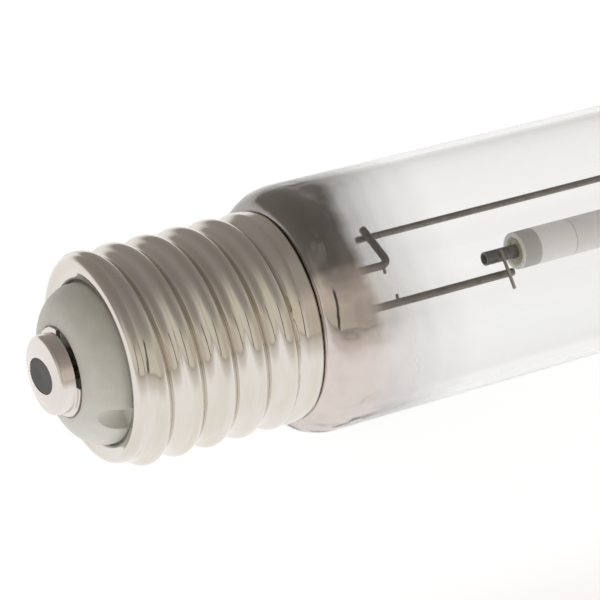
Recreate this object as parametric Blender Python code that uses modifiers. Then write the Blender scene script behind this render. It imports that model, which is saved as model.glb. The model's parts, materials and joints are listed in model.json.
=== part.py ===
"""A tubular high-pressure sodium grow lamp with a large screw cap, in metres.

The lamp lies along +X with +Z up. The origin is the centre of the front plane of the
end contact. A station is a distance along +X from there, and a bearing is an angle about
+X that is 0 at +Y and 90 degrees at +Z. Metal and glass lengths are typed in millimetres
and multiplied by MM.
"""

import math

import bmesh
import bpy
from mathutils import Matrix, Vector

MM = 0.001

# ---- The lamp as a whole ----
OVERALL_LENGTH = 211.0 * MM
LIGHT_CENTRE = 132.3 * MM       # front plane of the contact to the middle of the arc tube
FIT_GAP = 0.3 * MM              # clearance between pieces that touch
CUTTER_REACH = 1.0 * MM         # how far a cutter stands out of what it cuts

# ---- Cap: contact, insulator and threaded shell ----
CONTACT_RADIUS = 7.15 * MM
CONTACT_HOLE_RADIUS = 3.5 * MM
CONTACT_FLAT_RADIUS = 4.6 * MM
CONTACT_CROWN = 0.35 * MM       # how far the domed face stands in front of its edge
CONTACT_HEIGHT = 3.3 * MM       # front plane to the flange
CONTACT_EDGE_ROUND = 0.9 * MM
CONTACT_FACE_BULGE = 0.05 * MM
CONTACT_FOOT_SPREAD = 0.2 * MM   # how far the side widens down to the flange
FLANGE_WIDTH = 0.85 * MM         # how far the flange stands out of the contact
FLANGE_THICKNESS = 0.7 * MM
FLANGE_GAP_FROM = math.radians(88.0)
FLANGE_GAP_TO = math.radians(178.0)
FLANGE_GAP_INSET = 0.35 * MM     # contact's side to the bottom of the gap
SOLDER_RECESS = 0.5 * MM
SOLDER_DIP = 0.25 * MM           # how far the middle lies below the solder's edge
SOLDER_MENISCUS = 0.05 * MM
SOLDER_BACK = 0.4 * MM           # solder's back to the back of the flange

INSULATOR_RIM_RADIUS = 14.4 * MM
INSULATOR_DOME_HEIGHT = 5.3 * MM
INSULATOR_DOME_BULGE = 1.45 * MM
INSULATOR_STEP = 0.4 * MM        # flange's front to the start of the dome
INSULATOR_BODY_LENGTH = 5.0 * MM
INSULATOR_HOLE_RADIUS = 4.2 * MM
RIM_RECESS = 2.1 * MM            # depth of the groove between the dome's rim and the shell
SLOT_INSET = 0.1 * MM            # seat's edge to the side of the wire slot
SCOOP_RADIUS = 2.3 * MM
SCOOP_AXIS_RADIUS = 14.15 * MM   # lamp's axis to the axis of the scoop
SCOOP_BEARING = math.radians(-162.0)
SCOOP_COUNT = 2
SCOOP_FLOOR = 0.4 * MM           # back of the scoop to the bottom of the groove

THREAD_PITCH = 6.35 * MM
THREAD_CREST_RADIUS = 19.65 * MM
THREAD_ROOT_RADIUS = 17.85 * MM
THREAD_FIRST_CREST = 11.62 * MM  # station of the first crest at THREAD_BEARING
THREAD_BEARING = math.radians(60.0)
THREAD_RUN_IN = 1.6 * MM         # length over which the thread rises to its full height
THREAD_START = 9.6 * MM
SHELL_WALL = 0.5 * MM
SHELL_FRONT = 9.05 * MM          # station of the front of the rolled end
SHELL_END_RADIUS = 18.15 * MM    # outside of the rolled end
SHELL_ROLL_WIDTH = 2.3 * MM
SHELL_ROLL_DEPTH = 1.8 * MM
SHELL_LIP_RADIUS = 14.75 * MM    # inner edge of the lip that is crimped over the insulator
SHELL_LIP_STATION = 9.95 * MM
SHELL_LIP_TURN = math.radians(205.0)  # where the lip leaves the rolled end
FRONT_LIFT = 0.6 * MM            # how far the first turn raises the rolled end beside it
SKIRT_RADIUS = 19.5 * MM
SKIRT_LENGTH = 2.6 * MM
SKIRT_RAMP = 2.8 * MM
SHELL_RIM = 45.1 * MM            # station of the open rim

# ---- Outer bulb and stem ----
BULB_RADIUS = 22.9 * MM
BULB_WALL = 1.2 * MM
DOME_DEPTH = 20.0 * MM
NECK_RADIUS = 15.6 * MM
NECK_END = 18.0 * MM
SHOULDER_LENGTH = 6.6 * MM
SHOULDER_CLEARANCE = 0.1 * MM    # rim of the shell to the start of the shoulder
CEMENT_LENGTH = 14.5 * MM
CEMENT_CLEARANCE = 0.5 * MM      # cement to the curve of the shoulder
WELD_RADIUS = 0.8 * MM
WELD_INSET = 1.1 * MM            # bore of the shell to the middle of the side weld
FLARE_INSET = 1.0 * MM           # end of the neck to the edge of the flare
STEM_TUBE_RADIUS = 6.3 * MM
STEM_WALL = 1.0 * MM
STEM_LENGTH = 28.0 * MM
STEM_FLARE_LENGTH = 8.0 * MM
PRESS_SIZE = (11.0 * MM, 13.0 * MM, 4.6 * MM)
PRESS_ROUND = 1.0 * MM
EXHAUST_RADIUS = 2.3 * MM
EXHAUST_WALL = 0.8 * MM
EXHAUST_LENGTH = 25.5 * MM

# ---- Lead wires and frame ----
LEAD_RADIUS = 0.75 * MM
LEAD_CIRCLE = 3.75 * MM
LEAD_BEARING = math.radians(47.0)
OUTER_LEAD_RADIUS = 0.45 * MM
OUTER_LEAD_BEND = 1.5 * MM
OUTER_LEAD_TURN = 2.0 * MM       # back of the insulator to the last bend of the centre lead
OUTER_LEAD_TIP = 0.1 * MM        # back of the flange to the tip of the centre lead
ARC_TUBE_CLEARANCE = 1.7 * MM    # straight lead's end to the arc tube
CROSSBAR_STATION = 72.2 * MM
CROSSBAR_LENGTH = 10.1 * MM
CROSSBAR_BEARING = math.radians(19.5)
CROSSBAR_BEND = 1.9 * MM
ROD_RADIUS = 0.65 * MM
ROD_ALONG_CROSSBAR = 8.97 * MM    # corner of the lead to the rod, along the crossbar
ROD_START_OVERHANG = 1.6 * MM
FRAME_END_CLEARANCE = 24.0 * MM   # bridge of the frame to the far end of the bulb
ROD_BEND = 2.5 * MM
CROSS_WIRE_RADIUS = 0.35 * MM
CROSS_WIRE_STANDOFF = 3.7 * MM    # cross wire to the end of the arc tube
NEAR_WIRE_BEARING = math.radians(-130.5)
NEAR_WIRE_REACH = 7.2 * MM
NEAR_WIRE_TAIL = 0.6 * MM        # how far it runs on past the niobium tube
FAR_WIRE_TAIL = 2.5 * MM
FAR_WIRE_OVERHANG = 2.0 * MM     # how far it runs on past the rod
SPRING_WIDTH = 4.0 * MM
SPRING_THICKNESS = 0.25 * MM
SPRING_LENGTH = 14.0 * MM
SPRING_FOOT_SHARE = 0.45         # foot's place between the axis and the rod
SPRING_HEEL_SHARE = 0.4          # where along the spring it meets the glass
SPRING_HEEL_GAP = 0.5 * MM
SPRING_TIP_GAP = 1.5 * MM
SPRING_BEND = 3.0 * MM

# ---- Getters ----
GETTER_STATION = 60.0 * MM
GETTER_RADIUS = 3.0 * MM
GETTER_SECTION = 0.7 * MM
GETTER_WIRE_RADIUS = 0.3 * MM
GETTER_REACH = 10.5 * MM
GETTER_TIP = 1.6 * MM             # axis of the lead to the tip of the wire
GETTER_BEND_RATIO = 2.5           # bend radius over the wire's radius
GETTER_SIDE = math.radians(-30.0)  # side of the leads that the getter wires run on
GETTER_UPPER_BEARING = math.radians(56.0)
GETTER_LOWER_BEARING = math.radians(-77.0)
GETTER_UPPER_STATION = 71.6 * MM
GETTER_LOWER_STATION = 71.9 * MM

# ---- Arc tube ----
ARC_TUBE_LENGTH = 68.0 * MM
ARC_TUBE_RADIUS = 3.55 * MM
ARC_TUBE_WALL = 0.75 * MM
PLUG_LENGTH = 11.6 * MM
PLUG_RECESS = 0.6 * MM
NIOBIUM_RADIUS = 1.3 * MM
NIOBIUM_WALL = 0.35 * MM
NIOBIUM_OUTSIDE = 6.7 * MM        # length that stands out of the arc tube
NIOBIUM_INSIDE = 10.6 * MM
FRIT_THICKNESS = 0.25 * MM
FRIT_INSET = 0.05 * MM            # end of the arc tube to the front of the frit
ELECTRODE_RADIUS = 0.4 * MM
ELECTRODE_START = 6.0 * MM        # end of the arc tube to the back of the electrode
ELECTRODE_LENGTH = 14.0 * MM
COIL_WIRE_RADIUS = 0.22 * MM
COIL_TURNS = 6
COIL_PITCH = 0.75 * MM
COIL_BACK = 1.2 * MM              # tip of the electrode to the coil
PILL_RADIUS = 0.8 * MM
PILL_DISTANCE = 2.0 * MM          # inner end of the plug to the pill

# ---- Fineness ----
SHELL_STEPS = 30
BULB_STEPS = 28
CAP_STEPS = 32
TUBE_STEPS = 20
COIL_POINTS = 8
THREAD_ROW = 1.15 * MM

# ---- Places that follow from the sizes above ----
FLANGE_RADIUS = CONTACT_RADIUS + FLANGE_WIDTH
FLANGE_BACK = CONTACT_HEIGHT + FLANGE_THICKNESS
SEAT = FLANGE_BACK + FIT_GAP
SEAT_RADIUS = FLANGE_RADIUS + FIT_GAP
DOME_START = CONTACT_HEIGHT + INSULATOR_STEP
DOME_END = DOME_START + INSULATOR_DOME_HEIGHT
INSULATOR_END = DOME_END + INSULATOR_BODY_LENGTH
ROLL_RADIUS = SHELL_END_RADIUS - SHELL_ROLL_WIDTH / 2
ROLL_CENTRE = SHELL_FRONT + SHELL_ROLL_DEPTH
INSULATOR_RADIUS = ROLL_RADIUS - SHELL_ROLL_WIDTH / 2 - FIT_GAP
SHELL_BORE = THREAD_ROOT_RADIUS - SHELL_WALL
SHOULDER_START = SHELL_RIM + SHOULDER_CLEARANCE
SHOULDER_INNER = SKIRT_RADIUS - SHELL_WALL - FIT_GAP
NECK_FILLET = SHOULDER_INNER - NECK_RADIUS
BULB_BORE = BULB_RADIUS - BULB_WALL
FLARE_START = NECK_END + FLARE_INSET
FLARE_RADIUS = NECK_RADIUS - BULB_WALL - FIT_GAP
STEM_END = FLARE_START + STEM_LENGTH
PRESS_START = STEM_END + FIT_GAP
PRESS_END = PRESS_START + PRESS_SIZE[0]
LEAD_SPLICE = (PRESS_START + PRESS_END) / 2
ARC_START = LIGHT_CENTRE - ARC_TUBE_LENGTH / 2
ARC_END = LIGHT_CENTRE + ARC_TUBE_LENGTH / 2
ARC_BORE = ARC_TUBE_RADIUS - ARC_TUBE_WALL
PLUG_RADIUS = ARC_BORE - FIT_GAP
PLUG_BORE = NIOBIUM_RADIUS + FIT_GAP
ROD_UNDER_CROSSBAR = LEAD_RADIUS + ROD_RADIUS + FIT_GAP / 3
BRIDGE_STATION = OVERALL_LENGTH - FRAME_END_CLEARANCE
NEAR_WIRE_STATION = ARC_START - CROSS_WIRE_STANDOFF
FAR_WIRE_STATION = ARC_END + CROSS_WIRE_STANDOFF
COIL_RADIUS = ELECTRODE_RADIUS + FIT_GAP + COIL_WIRE_RADIUS


# ---- Helpers ----

def clear_scene():
    """Remove every object, and start the two collections."""
    for old in list(bpy.data.objects):
        bpy.data.objects.remove(old, do_unlink=True)
    made = []
    for name in ("grow_lamp", "cutters"):
        collection = bpy.data.collections.new(name)
        bpy.context.scene.collection.children.link(collection)
        made.append(collection)
    return made


def finish(name, colour, roughness, metallic=0.0, transmission=0.0):
    """Make a Principled material."""
    material = bpy.data.materials.new(name)
    material.use_nodes = True
    shader = material.node_tree.nodes["Principled BSDF"]
    shader.inputs["Base Color"].default_value = (*colour, 1.0)
    shader.inputs["Roughness"].default_value = roughness
    shader.inputs["Metallic"].default_value = metallic
    shader.inputs["Transmission Weight"].default_value = transmission
    return material


def add(part, material):
    """Put a part in the lamp's collection with its material."""
    parts.objects.link(part)
    part.parent = lamp
    part.data.materials.append(material)
    return part


def place(radius, bearing, station=0.0):
    """The point at a radius, a bearing and a station."""
    return Vector((station, radius * math.cos(bearing), radius * math.sin(bearing)))


def arc(start, end, bulge, count):
    """Points from start to end on a circular arc whose middle stands bulge to the left."""
    first, last = Vector(start), Vector(end)
    chord = last - first
    half = chord.length / 2
    radius = (half * half + bulge * bulge) / (2 * abs(bulge))
    side = math.copysign(1.0, bulge)
    normal = Vector((-chord.y, chord.x)).normalized() * side
    centre = (first + last) / 2 - normal * (radius - abs(bulge))
    sweep = 2 * math.asin(min(1.0, half / radius)) * side
    spoke = first - centre
    turned_spokes = [Matrix.Rotation(-sweep * i / (count - 1), 2) @ spoke for i in range(count)]
    return [tuple(centre + turn) for turn in turned_spokes]


def quarter(centre, along, across, start, end, count):
    """Points of an ellipse about centre between two angles, as (station, radius)."""
    angles = [start + (end - start) * i / (count - 1) for i in range(count)]
    return [(centre[0] + along * math.cos(a), centre[1] + across * math.sin(a)) for a in angles]


def turned(name, outline, material, steps, closed=True, wall=0.0):
    """Turn (station, radius) points about the lamp's axis.

    The outline runs from the far end to the cap on the outside. A closed one comes back
    inside, and an open one gets its wall from Solidify, inwards.
    """
    mesh = bpy.data.meshes.new(name)
    points = [(radius, 0.0, station) for station, radius in outline]
    edges = [(i, i + 1) for i in range(len(points) - 1)]
    if closed:
        edges.append((len(points) - 1, 0))
    mesh.from_pydata(points, edges, [])
    part = add(bpy.data.objects.new(name, mesh), material)
    part.rotation_euler = (0.0, math.pi / 2, 0.0)
    screw = part.modifiers.new("Turn", "SCREW")
    screw.axis = "Z"
    screw.steps = screw.render_steps = steps
    screw.use_merge_vertices = True
    screw.merge_threshold = 0.00001
    if wall:
        solid = part.modifiers.new("Wall", "SOLIDIFY")
        solid.thickness = wall
        solid.offset = -1.0
        solid.use_even_offset = True
    return part


def tube(name, start, end, outer, inner, material, steps=TUBE_STEPS):
    """A plain tube between two stations."""
    outline = [(end, outer), (start, outer), (start, inner), (end, inner)]
    return turned(name, outline, material, steps)


def bent(points, radius, count=5):
    """A path through points with each corner rounded to a radius."""
    corners = [Vector(p) for p in points]
    path = [corners[0]]
    for before, corner, after in zip(corners, corners[1:], corners[2:]):
        back = (before - corner).normalized()
        ahead = (after - corner).normalized()
        half = back.angle(ahead) / 2
        reach = radius / math.tan(half)
        centre = corner + (back + ahead).normalized() * radius / math.sin(half)
        first = (corner + back * reach - centre).normalized()
        last = (corner + ahead * reach - centre).normalized()
        path += [centre + first.slerp(last, i / (count - 1)) * radius for i in range(count)]
    return path + [corners[-1]]


def wire(name, points, radius, material, bevel_resolution=2):
    """A round wire with closed ends along a path."""
    curve = bpy.data.curves.new(name, "CURVE")
    curve.dimensions = "3D"
    curve.bevel_depth = radius
    curve.bevel_resolution = bevel_resolution
    curve.use_fill_caps = True
    spline = curve.splines.new("POLY")
    spline.points.add(len(points) - 1)
    for knot, point in zip(spline.points, points):
        knot.co = (*point, 1.0)
    return add(bpy.data.objects.new(name, curve), material)


def from_bmesh(name, bm):
    """A mesh from a bmesh, with smooth faces and sharp edges over 35 degrees."""
    mesh = bpy.data.meshes.new(name)
    bmesh.ops.recalc_face_normals(bm, faces=bm.faces[:])
    bm.to_mesh(mesh)
    bm.free()
    mesh.shade_smooth()
    mesh.set_sharp_from_angle(angle=math.radians(35.0))
    return mesh


def cut(part, name, bm):
    """Cut a part with a bmesh, which becomes a hidden cutter."""
    cutter = bpy.data.objects.new(name, from_bmesh(name, bm))
    cutters.objects.link(cutter)
    cutter.parent = lamp
    cutter.hide_render = True
    cutter.display_type = "WIRE"
    boolean = part.modifiers.new(name, "BOOLEAN")
    boolean.operation = "DIFFERENCE"
    boolean.object = cutter


def cylinder(middle, direction, radius, length, segments=20):
    """A cylinder about a point and a direction, as a bmesh."""
    bm = bmesh.new()
    turn = direction.to_track_quat("Z", "Y").to_matrix().to_4x4()
    bmesh.ops.create_cone(bm, cap_ends=True, segments=segments, radius1=radius, radius2=radius,
                          depth=length, matrix=Matrix.Translation(middle) @ turn)
    return bm


def sector(inner, outer, start, end, bearing_from, bearing_to):
    """A block of a ring between two bearings, as a bmesh."""
    bm = bmesh.new()
    corners = [(start, inner), (end, inner), (end, outer), (start, outer)]
    face = bm.faces.new([bm.verts.new(place(r, bearing_from, s)) for s, r in corners])
    bmesh.ops.spin(bm, geom=[face], axis=(1.0, 0.0, 0.0), cent=(0.0, 0.0, 0.0),
                   angle=bearing_to - bearing_from, steps=6)
    bmesh.ops.remove_doubles(bm, verts=bm.verts[:], dist=0.000001)
    return bm


def smooth_step(value, low, high):
    """0 below low, 1 above high, and smooth between."""
    share = min(1.0, max(0.0, (value - low) / (high - low)))
    return share * share * (3.0 - 2.0 * share)


# ---- Cap ----

def contact_plate():
    """The end contact: a domed, holed disc with a flange that has one gap in it."""
    edge = CONTACT_RADIUS - CONTACT_EDGE_ROUND
    side = quarter((CONTACT_CROWN + CONTACT_EDGE_ROUND, edge), CONTACT_EDGE_ROUND,
                   CONTACT_EDGE_ROUND, math.pi / 2, math.pi, 5)
    dome = arc((CONTACT_CROWN, edge), (0.0, CONTACT_FLAT_RADIUS), CONTACT_FACE_BULGE, 4)
    outline = [(FLANGE_BACK, FLANGE_RADIUS), (CONTACT_HEIGHT, FLANGE_RADIUS),
               (CONTACT_HEIGHT, CONTACT_RADIUS + CONTACT_FOOT_SPREAD),
               *side, *dome[1:],
               (0.0, CONTACT_HOLE_RADIUS), (FLANGE_BACK, CONTACT_HOLE_RADIUS)]
    part = turned("contact_plate", outline, nickel, CAP_STEPS)
    gap = sector(CONTACT_RADIUS + FLANGE_GAP_INSET, SEAT_RADIUS + CUTTER_REACH,
                 CONTACT_HEIGHT - CUTTER_REACH, FLANGE_BACK + CUTTER_REACH,
                 FLANGE_GAP_FROM, FLANGE_GAP_TO)
    cut(part, "flange_gap_cutter", gap)


def contact_solder():
    """The plug of solder in the contact's hole, a little below the rim."""
    radius = CONTACT_HOLE_RADIUS - FIT_GAP
    back = FLANGE_BACK - SOLDER_BACK
    meniscus = arc((SOLDER_RECESS, radius), (SOLDER_RECESS + SOLDER_DIP, 0.0), -SOLDER_MENISCUS, 4)
    turned("contact_solder", [(back, 0.0), (back, radius), *meniscus], solder, CAP_STEPS, closed=False)


def insulator():
    """The domed insulator, with the contact's seat, a wire slot and scoops in its rim."""
    dome = arc((DOME_END, INSULATOR_RIM_RADIUS), (DOME_START, SEAT_RADIUS), -INSULATOR_DOME_BULGE, 8)
    groove = DOME_END + RIM_RECESS
    outline = [(INSULATOR_END, INSULATOR_RADIUS), (groove, INSULATOR_RADIUS),
               (groove, INSULATOR_RIM_RADIUS), *dome, (SEAT, SEAT_RADIUS),
               (SEAT, INSULATOR_HOLE_RADIUS), (INSULATOR_END, INSULATOR_HOLE_RADIUS)]
    part = turned("insulator", outline, ceramic, CAP_STEPS)
    slot = sector(INSULATOR_HOLE_RADIUS - CUTTER_REACH, SEAT_RADIUS - SLOT_INSET,
                  SEAT - CUTTER_REACH / 2, DOME_END, FLANGE_GAP_FROM, FLANGE_GAP_TO)
    cut(part, "wire_slot_cutter", slot)
    scoop_end = groove - SCOOP_FLOOR
    for index in range(SCOOP_COUNT):
        bearing = SCOOP_BEARING + index * math.tau / SCOOP_COUNT
        middle = place(SCOOP_AXIS_RADIUS, bearing, scoop_end / 2)
        cut(part, f"scoop_cutter_{index + 1}",
            cylinder(middle, Vector((1, 0, 0)), SCOOP_RADIUS, scoop_end, 28))


def thread_height(along):
    """Height of the rounded thread over its root, at a distance from a crest."""
    height = THREAD_CREST_RADIUS - THREAD_ROOT_RADIUS
    quarter_pitch = THREAD_PITCH / 4
    radius = (quarter_pitch ** 2 + (height / 2) ** 2) / height
    if along <= quarter_pitch:
        return height - radius + math.sqrt(radius ** 2 - along ** 2)
    return radius - math.sqrt(radius ** 2 - (THREAD_PITCH / 2 - along) ** 2)


def front_share(bearing):
    """How much of the first turn stands beside the rolled end, at a bearing."""
    turn = math.degrees(bearing) % 360.0
    return smooth_step(turn, 0.0, 60.0) * (1.0 - smooth_step(turn, 150.0, 215.0))


def front_radius(station, bearing):
    """Radius of the shoulder that joins the rolled end to the first crest of the thread."""
    share = front_share(bearing)
    foot = SHELL_END_RADIUS + FRONT_LIFT * share
    turned_by = bearing % math.tau - THREAD_BEARING
    crest = THREAD_FIRST_CREST + THREAD_PITCH * turned_by / math.tau
    left = max(0.0, 1.0 - (station - ROLL_CENTRE) / max(crest - ROLL_CENTRE, THREAD_RUN_IN / 2))
    if station > crest or share == 0.0:
        return 0.0
    return foot + (THREAD_CREST_RADIUS - foot) * (1.0 - left * left) * share


def shell_radius(station, bearing):
    """Radius of the shell's outside, past its rolled end."""
    turns = (station - THREAD_FIRST_CREST) / THREAD_PITCH - (bearing - THREAD_BEARING) / math.tau
    along = abs(turns - round(turns)) * THREAD_PITCH
    run_in = smooth_step(station, THREAD_START, THREAD_START + THREAD_RUN_IN)
    fall = smooth_step(station, ROLL_CENTRE, ROLL_CENTRE + THREAD_RUN_IN)
    base = SHELL_END_RADIUS + (THREAD_ROOT_RADIUS - SHELL_END_RADIUS) * fall
    skirt_start = SHELL_RIM - SKIRT_LENGTH
    ramp = smooth_step(station, skirt_start - SKIRT_RAMP, skirt_start)
    skirt = THREAD_ROOT_RADIUS + (SKIRT_RADIUS - THREAD_ROOT_RADIUS) * ramp
    thread = THREAD_ROOT_RADIUS + thread_height(along) * run_in * (1.0 - ramp * ramp)
    return max(base, thread, skirt, front_radius(station, bearing))


def screw_shell():
    """The threaded shell: one thin wall with a rolled front end and a plain skirt."""
    rows = round((SHELL_RIM - ROLL_CENTRE) / THREAD_ROW)
    straight = [SHELL_RIM - (SHELL_RIM - ROLL_CENTRE) * i / rows for i in range(rows)]
    roll = quarter((ROLL_CENTRE, ROLL_RADIUS), SHELL_ROLL_DEPTH, SHELL_ROLL_WIDTH / 2,
                   math.pi / 2, SHELL_LIP_TURN, 7)
    lip = (SHELL_LIP_STATION, SHELL_LIP_RADIUS)
    outline = [(station, THREAD_ROOT_RADIUS) for station in straight] + roll + [lip]
    blank = turned("screw_shell_blank", outline, nickel, SHELL_STEPS, closed=False)
    bpy.context.view_layer.update()
    evaluated = blank.evaluated_get(bpy.context.evaluated_depsgraph_get())
    mesh = bpy.data.meshes.new_from_object(evaluated)
    mesh.transform(blank.matrix_world)
    mesh.name = "screw_shell"
    bpy.data.objects.remove(blank, do_unlink=True)
    for vertex in mesh.vertices:
        station, y, z = vertex.co
        on_outside = math.hypot(y, z) > ROLL_RADIUS
        bearing = math.atan2(z, y)
        if on_outside and station >= ROLL_CENTRE:
            vertex.co = place(shell_radius(station, bearing), bearing, station)
        elif on_outside:
            lift = (shell_radius(ROLL_CENTRE, bearing) - SHELL_END_RADIUS) * front_share(bearing)
            out = (math.hypot(y, z) - ROLL_RADIUS) / (SHELL_END_RADIUS - ROLL_RADIUS)
            vertex.co = place(math.hypot(y, z) + lift * out, bearing, station)
    mesh.materials.clear()
    part = add(bpy.data.objects.new("screw_shell", mesh), nickel)
    solid = part.modifiers.new("Wall", "SOLIDIFY")
    solid.thickness = SHELL_WALL
    solid.offset = -1.0


def basing_cement():
    """The ring of cement between the bulb's neck and the shell."""
    end = SHOULDER_START - NECK_FILLET - CEMENT_CLEARANCE
    tube("basing_cement", end - CEMENT_LENGTH, end, SHELL_BORE - FIT_GAP, NECK_RADIUS + FIT_GAP,
         cement, CAP_STEPS)


def side_weld():
    """The nub that joins the side lead to the inside of the shell."""
    bm = bmesh.new()
    bmesh.ops.create_uvsphere(bm, u_segments=12, v_segments=8, radius=WELD_RADIUS)
    bmesh.ops.translate(bm, verts=bm.verts[:], vec=side_weld_place())
    add(bpy.data.objects.new("side_weld", from_bmesh("side_weld", bm)), solder)


def side_weld_place():
    """Where the side lead is welded, in the space between insulator and neck."""
    return place(SHELL_BORE - WELD_INSET, LEAD_BEARING, (INSULATOR_END + NECK_END) / 2)


# ---- Bulb and stem ----

def outer_bulb():
    """The glass bulb: neck, shoulder, long cylinder and domed end, open at the neck."""
    dome_centre = (OVERALL_LENGTH - DOME_DEPTH, 0.0)
    dome = quarter(dome_centre, DOME_DEPTH, BULB_RADIUS, 0.0, math.pi / 2, 8)
    dome[0] = (OVERALL_LENGTH, 0.0)
    shoulder_end = SHOULDER_START + SHOULDER_LENGTH
    shoulder = quarter((shoulder_end, SHOULDER_INNER), SHOULDER_LENGTH, BULB_RADIUS - SHOULDER_INNER,
                       math.pi / 2, math.pi, 7)
    fillet = quarter((SHOULDER_START - NECK_FILLET, SHOULDER_INNER), NECK_FILLET, NECK_FILLET,
                     0.0, -math.pi / 2, 5)[1:]
    outline = dome + shoulder + fillet + [(NECK_END, NECK_RADIUS)]
    turned("outer_bulb", outline, glass, BULB_STEPS, closed=False, wall=BULB_WALL)


def stem_flare():
    """The flared glass tube that closes the neck and carries the press."""
    tube_start = FLARE_START + STEM_FLARE_LENGTH
    rise = FLARE_RADIUS - STEM_TUBE_RADIUS
    flare = quarter((tube_start, FLARE_RADIUS), STEM_FLARE_LENGTH, rise, -math.pi / 2, -math.pi, 6)
    outline = [(STEM_END, STEM_TUBE_RADIUS)] + flare
    turned("stem_flare", outline, glass, TUBE_STEPS, closed=False, wall=STEM_WALL)


def stem_press():
    """The pinched block of glass that the two leads pass through."""
    bm = bmesh.new()
    bmesh.ops.create_cube(bm, size=1.0, matrix=Matrix.Diagonal((*PRESS_SIZE, 1.0)))
    bmesh.ops.bevel(bm, geom=bm.edges[:], offset=PRESS_ROUND, offset_type="OFFSET", segments=2,
                    profile=0.5, affect="EDGES", clamp_overlap=True, material=-1)
    turn = Matrix.Rotation(LEAD_BEARING, 4, "X")
    bmesh.ops.transform(bm, verts=bm.verts[:], matrix=Matrix.Translation((LEAD_SPLICE, 0, 0)) @ turn)
    part = add(bpy.data.objects.new("stem_press", from_bmesh("stem_press", bm)), glass)
    for index in range(2):
        middle = place(LEAD_CIRCLE, LEAD_BEARING + index * math.pi, LEAD_SPLICE)
        bore = cylinder(middle, Vector((1, 0, 0)), LEAD_RADIUS + FIT_GAP, PRESS_SIZE[0] * 1.5, 16)
        cut(part, f"press_bore_cutter_{index + 1}", bore)


def exhaust_tube():
    """The pumping tube inside the stem, tipped off at the cap end."""
    tip = quarter((STEM_END - EXHAUST_LENGTH, 0.0), -EXHAUST_RADIUS, EXHAUST_RADIUS,
                  math.pi / 2, 0.0, 5)
    tip[-1] = (tip[-1][0], 0.0)
    turned("exhaust_tube", [(STEM_END - FIT_GAP, EXHAUST_RADIUS)] + tip, glass, TUBE_STEPS,
           closed=False, wall=EXHAUST_WALL)


# ---- Leads and frame ----

def outer_leads():
    """The leads in the cap, one to the end contact and one to the shell."""
    gap_middle = (INSULATOR_END + NECK_END) / 2
    back = LEAD_BEARING + math.pi
    splice = LEAD_SPLICE - FIT_GAP
    centre = [place(LEAD_CIRCLE, back, splice), place(LEAD_CIRCLE, back, gap_middle),
              Vector((INSULATOR_END - OUTER_LEAD_TURN, 0, 0)),
              Vector((FLANGE_BACK - OUTER_LEAD_TIP, 0, 0))]
    wire("outer_lead_centre", bent(centre, OUTER_LEAD_BEND), OUTER_LEAD_RADIUS, lead_metal)
    weld = side_weld_place()
    reach = math.hypot(weld.y, weld.z) - WELD_RADIUS - FIT_GAP
    side = [place(LEAD_CIRCLE, LEAD_BEARING, splice), place(LEAD_CIRCLE, LEAD_BEARING, gap_middle),
            place(reach, LEAD_BEARING, gap_middle)]
    wire("outer_lead_side", bent(side, OUTER_LEAD_BEND), OUTER_LEAD_RADIUS, lead_metal)


def crossbar_end():
    """Where the crossbar of the short lead ends."""
    corner = place(LEAD_CIRCLE, LEAD_BEARING, CROSSBAR_STATION)
    return corner, corner + place(CROSSBAR_LENGTH, CROSSBAR_BEARING)


def rod_place():
    """Where the rod runs: just under the crossbar, as a point at station 0."""
    corner = place(LEAD_CIRCLE, LEAD_BEARING)
    along = place(ROD_ALONG_CROSSBAR, CROSSBAR_BEARING)
    return corner + along + place(ROD_UNDER_CROSSBAR, CROSSBAR_BEARING - math.pi / 2)


def inner_leads():
    """The two leads in the bulb: one bent into a crossbar, one straight to the arc tube."""
    splice = LEAD_SPLICE + FIT_GAP
    corner, end = crossbar_end()
    path = bent([place(LEAD_CIRCLE, LEAD_BEARING, splice), corner, end], CROSSBAR_BEND)
    wire("inner_lead_crossbar", path, LEAD_RADIUS, lead_metal)
    back = LEAD_BEARING + math.pi
    straight = [place(LEAD_CIRCLE, back, splice),
                place(LEAD_CIRCLE, back, ARC_START - ARC_TUBE_CLEARANCE)]
    wire("inner_lead_straight", straight, LEAD_RADIUS, lead_metal)


def return_rod():
    """The long rod beside the arc tube, bridged across at the far end."""
    _, y, z = rod_place()
    start = CROSSBAR_STATION - ROD_START_OVERHANG
    corners = [(start, y, z), (BRIDGE_STATION, y, z), (BRIDGE_STATION, -y, -z)]
    wire("return_rod", bent(corners, ROD_BEND), ROD_RADIUS, lead_metal)


def cross_wires():
    """The thin wires that join the niobium tubes to the straight lead and to the rod."""
    offset = NIOBIUM_RADIUS + FIT_GAP + CROSS_WIRE_RADIUS
    near_side = NEAR_WIRE_BEARING - math.pi / 2
    foot = place(offset, near_side, NEAR_WIRE_STATION)
    along = place(1.0, NEAR_WIRE_BEARING)
    near = [foot - along * NEAR_WIRE_TAIL, foot + along * NEAR_WIRE_REACH]
    wire("near_cross_wire", near, CROSS_WIRE_RADIUS, lead_metal)
    rod = rod_place()
    rod_bearing = math.atan2(rod.z, rod.y)
    foot = place(offset, rod_bearing + math.pi / 2, FAR_WIRE_STATION)
    along = place(1.0, rod_bearing)
    reach = rod.length + FAR_WIRE_OVERHANG
    far = [foot - along * FAR_WIRE_TAIL, foot + along * reach]
    wire("far_cross_wire", far, CROSS_WIRE_RADIUS, lead_metal)


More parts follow.
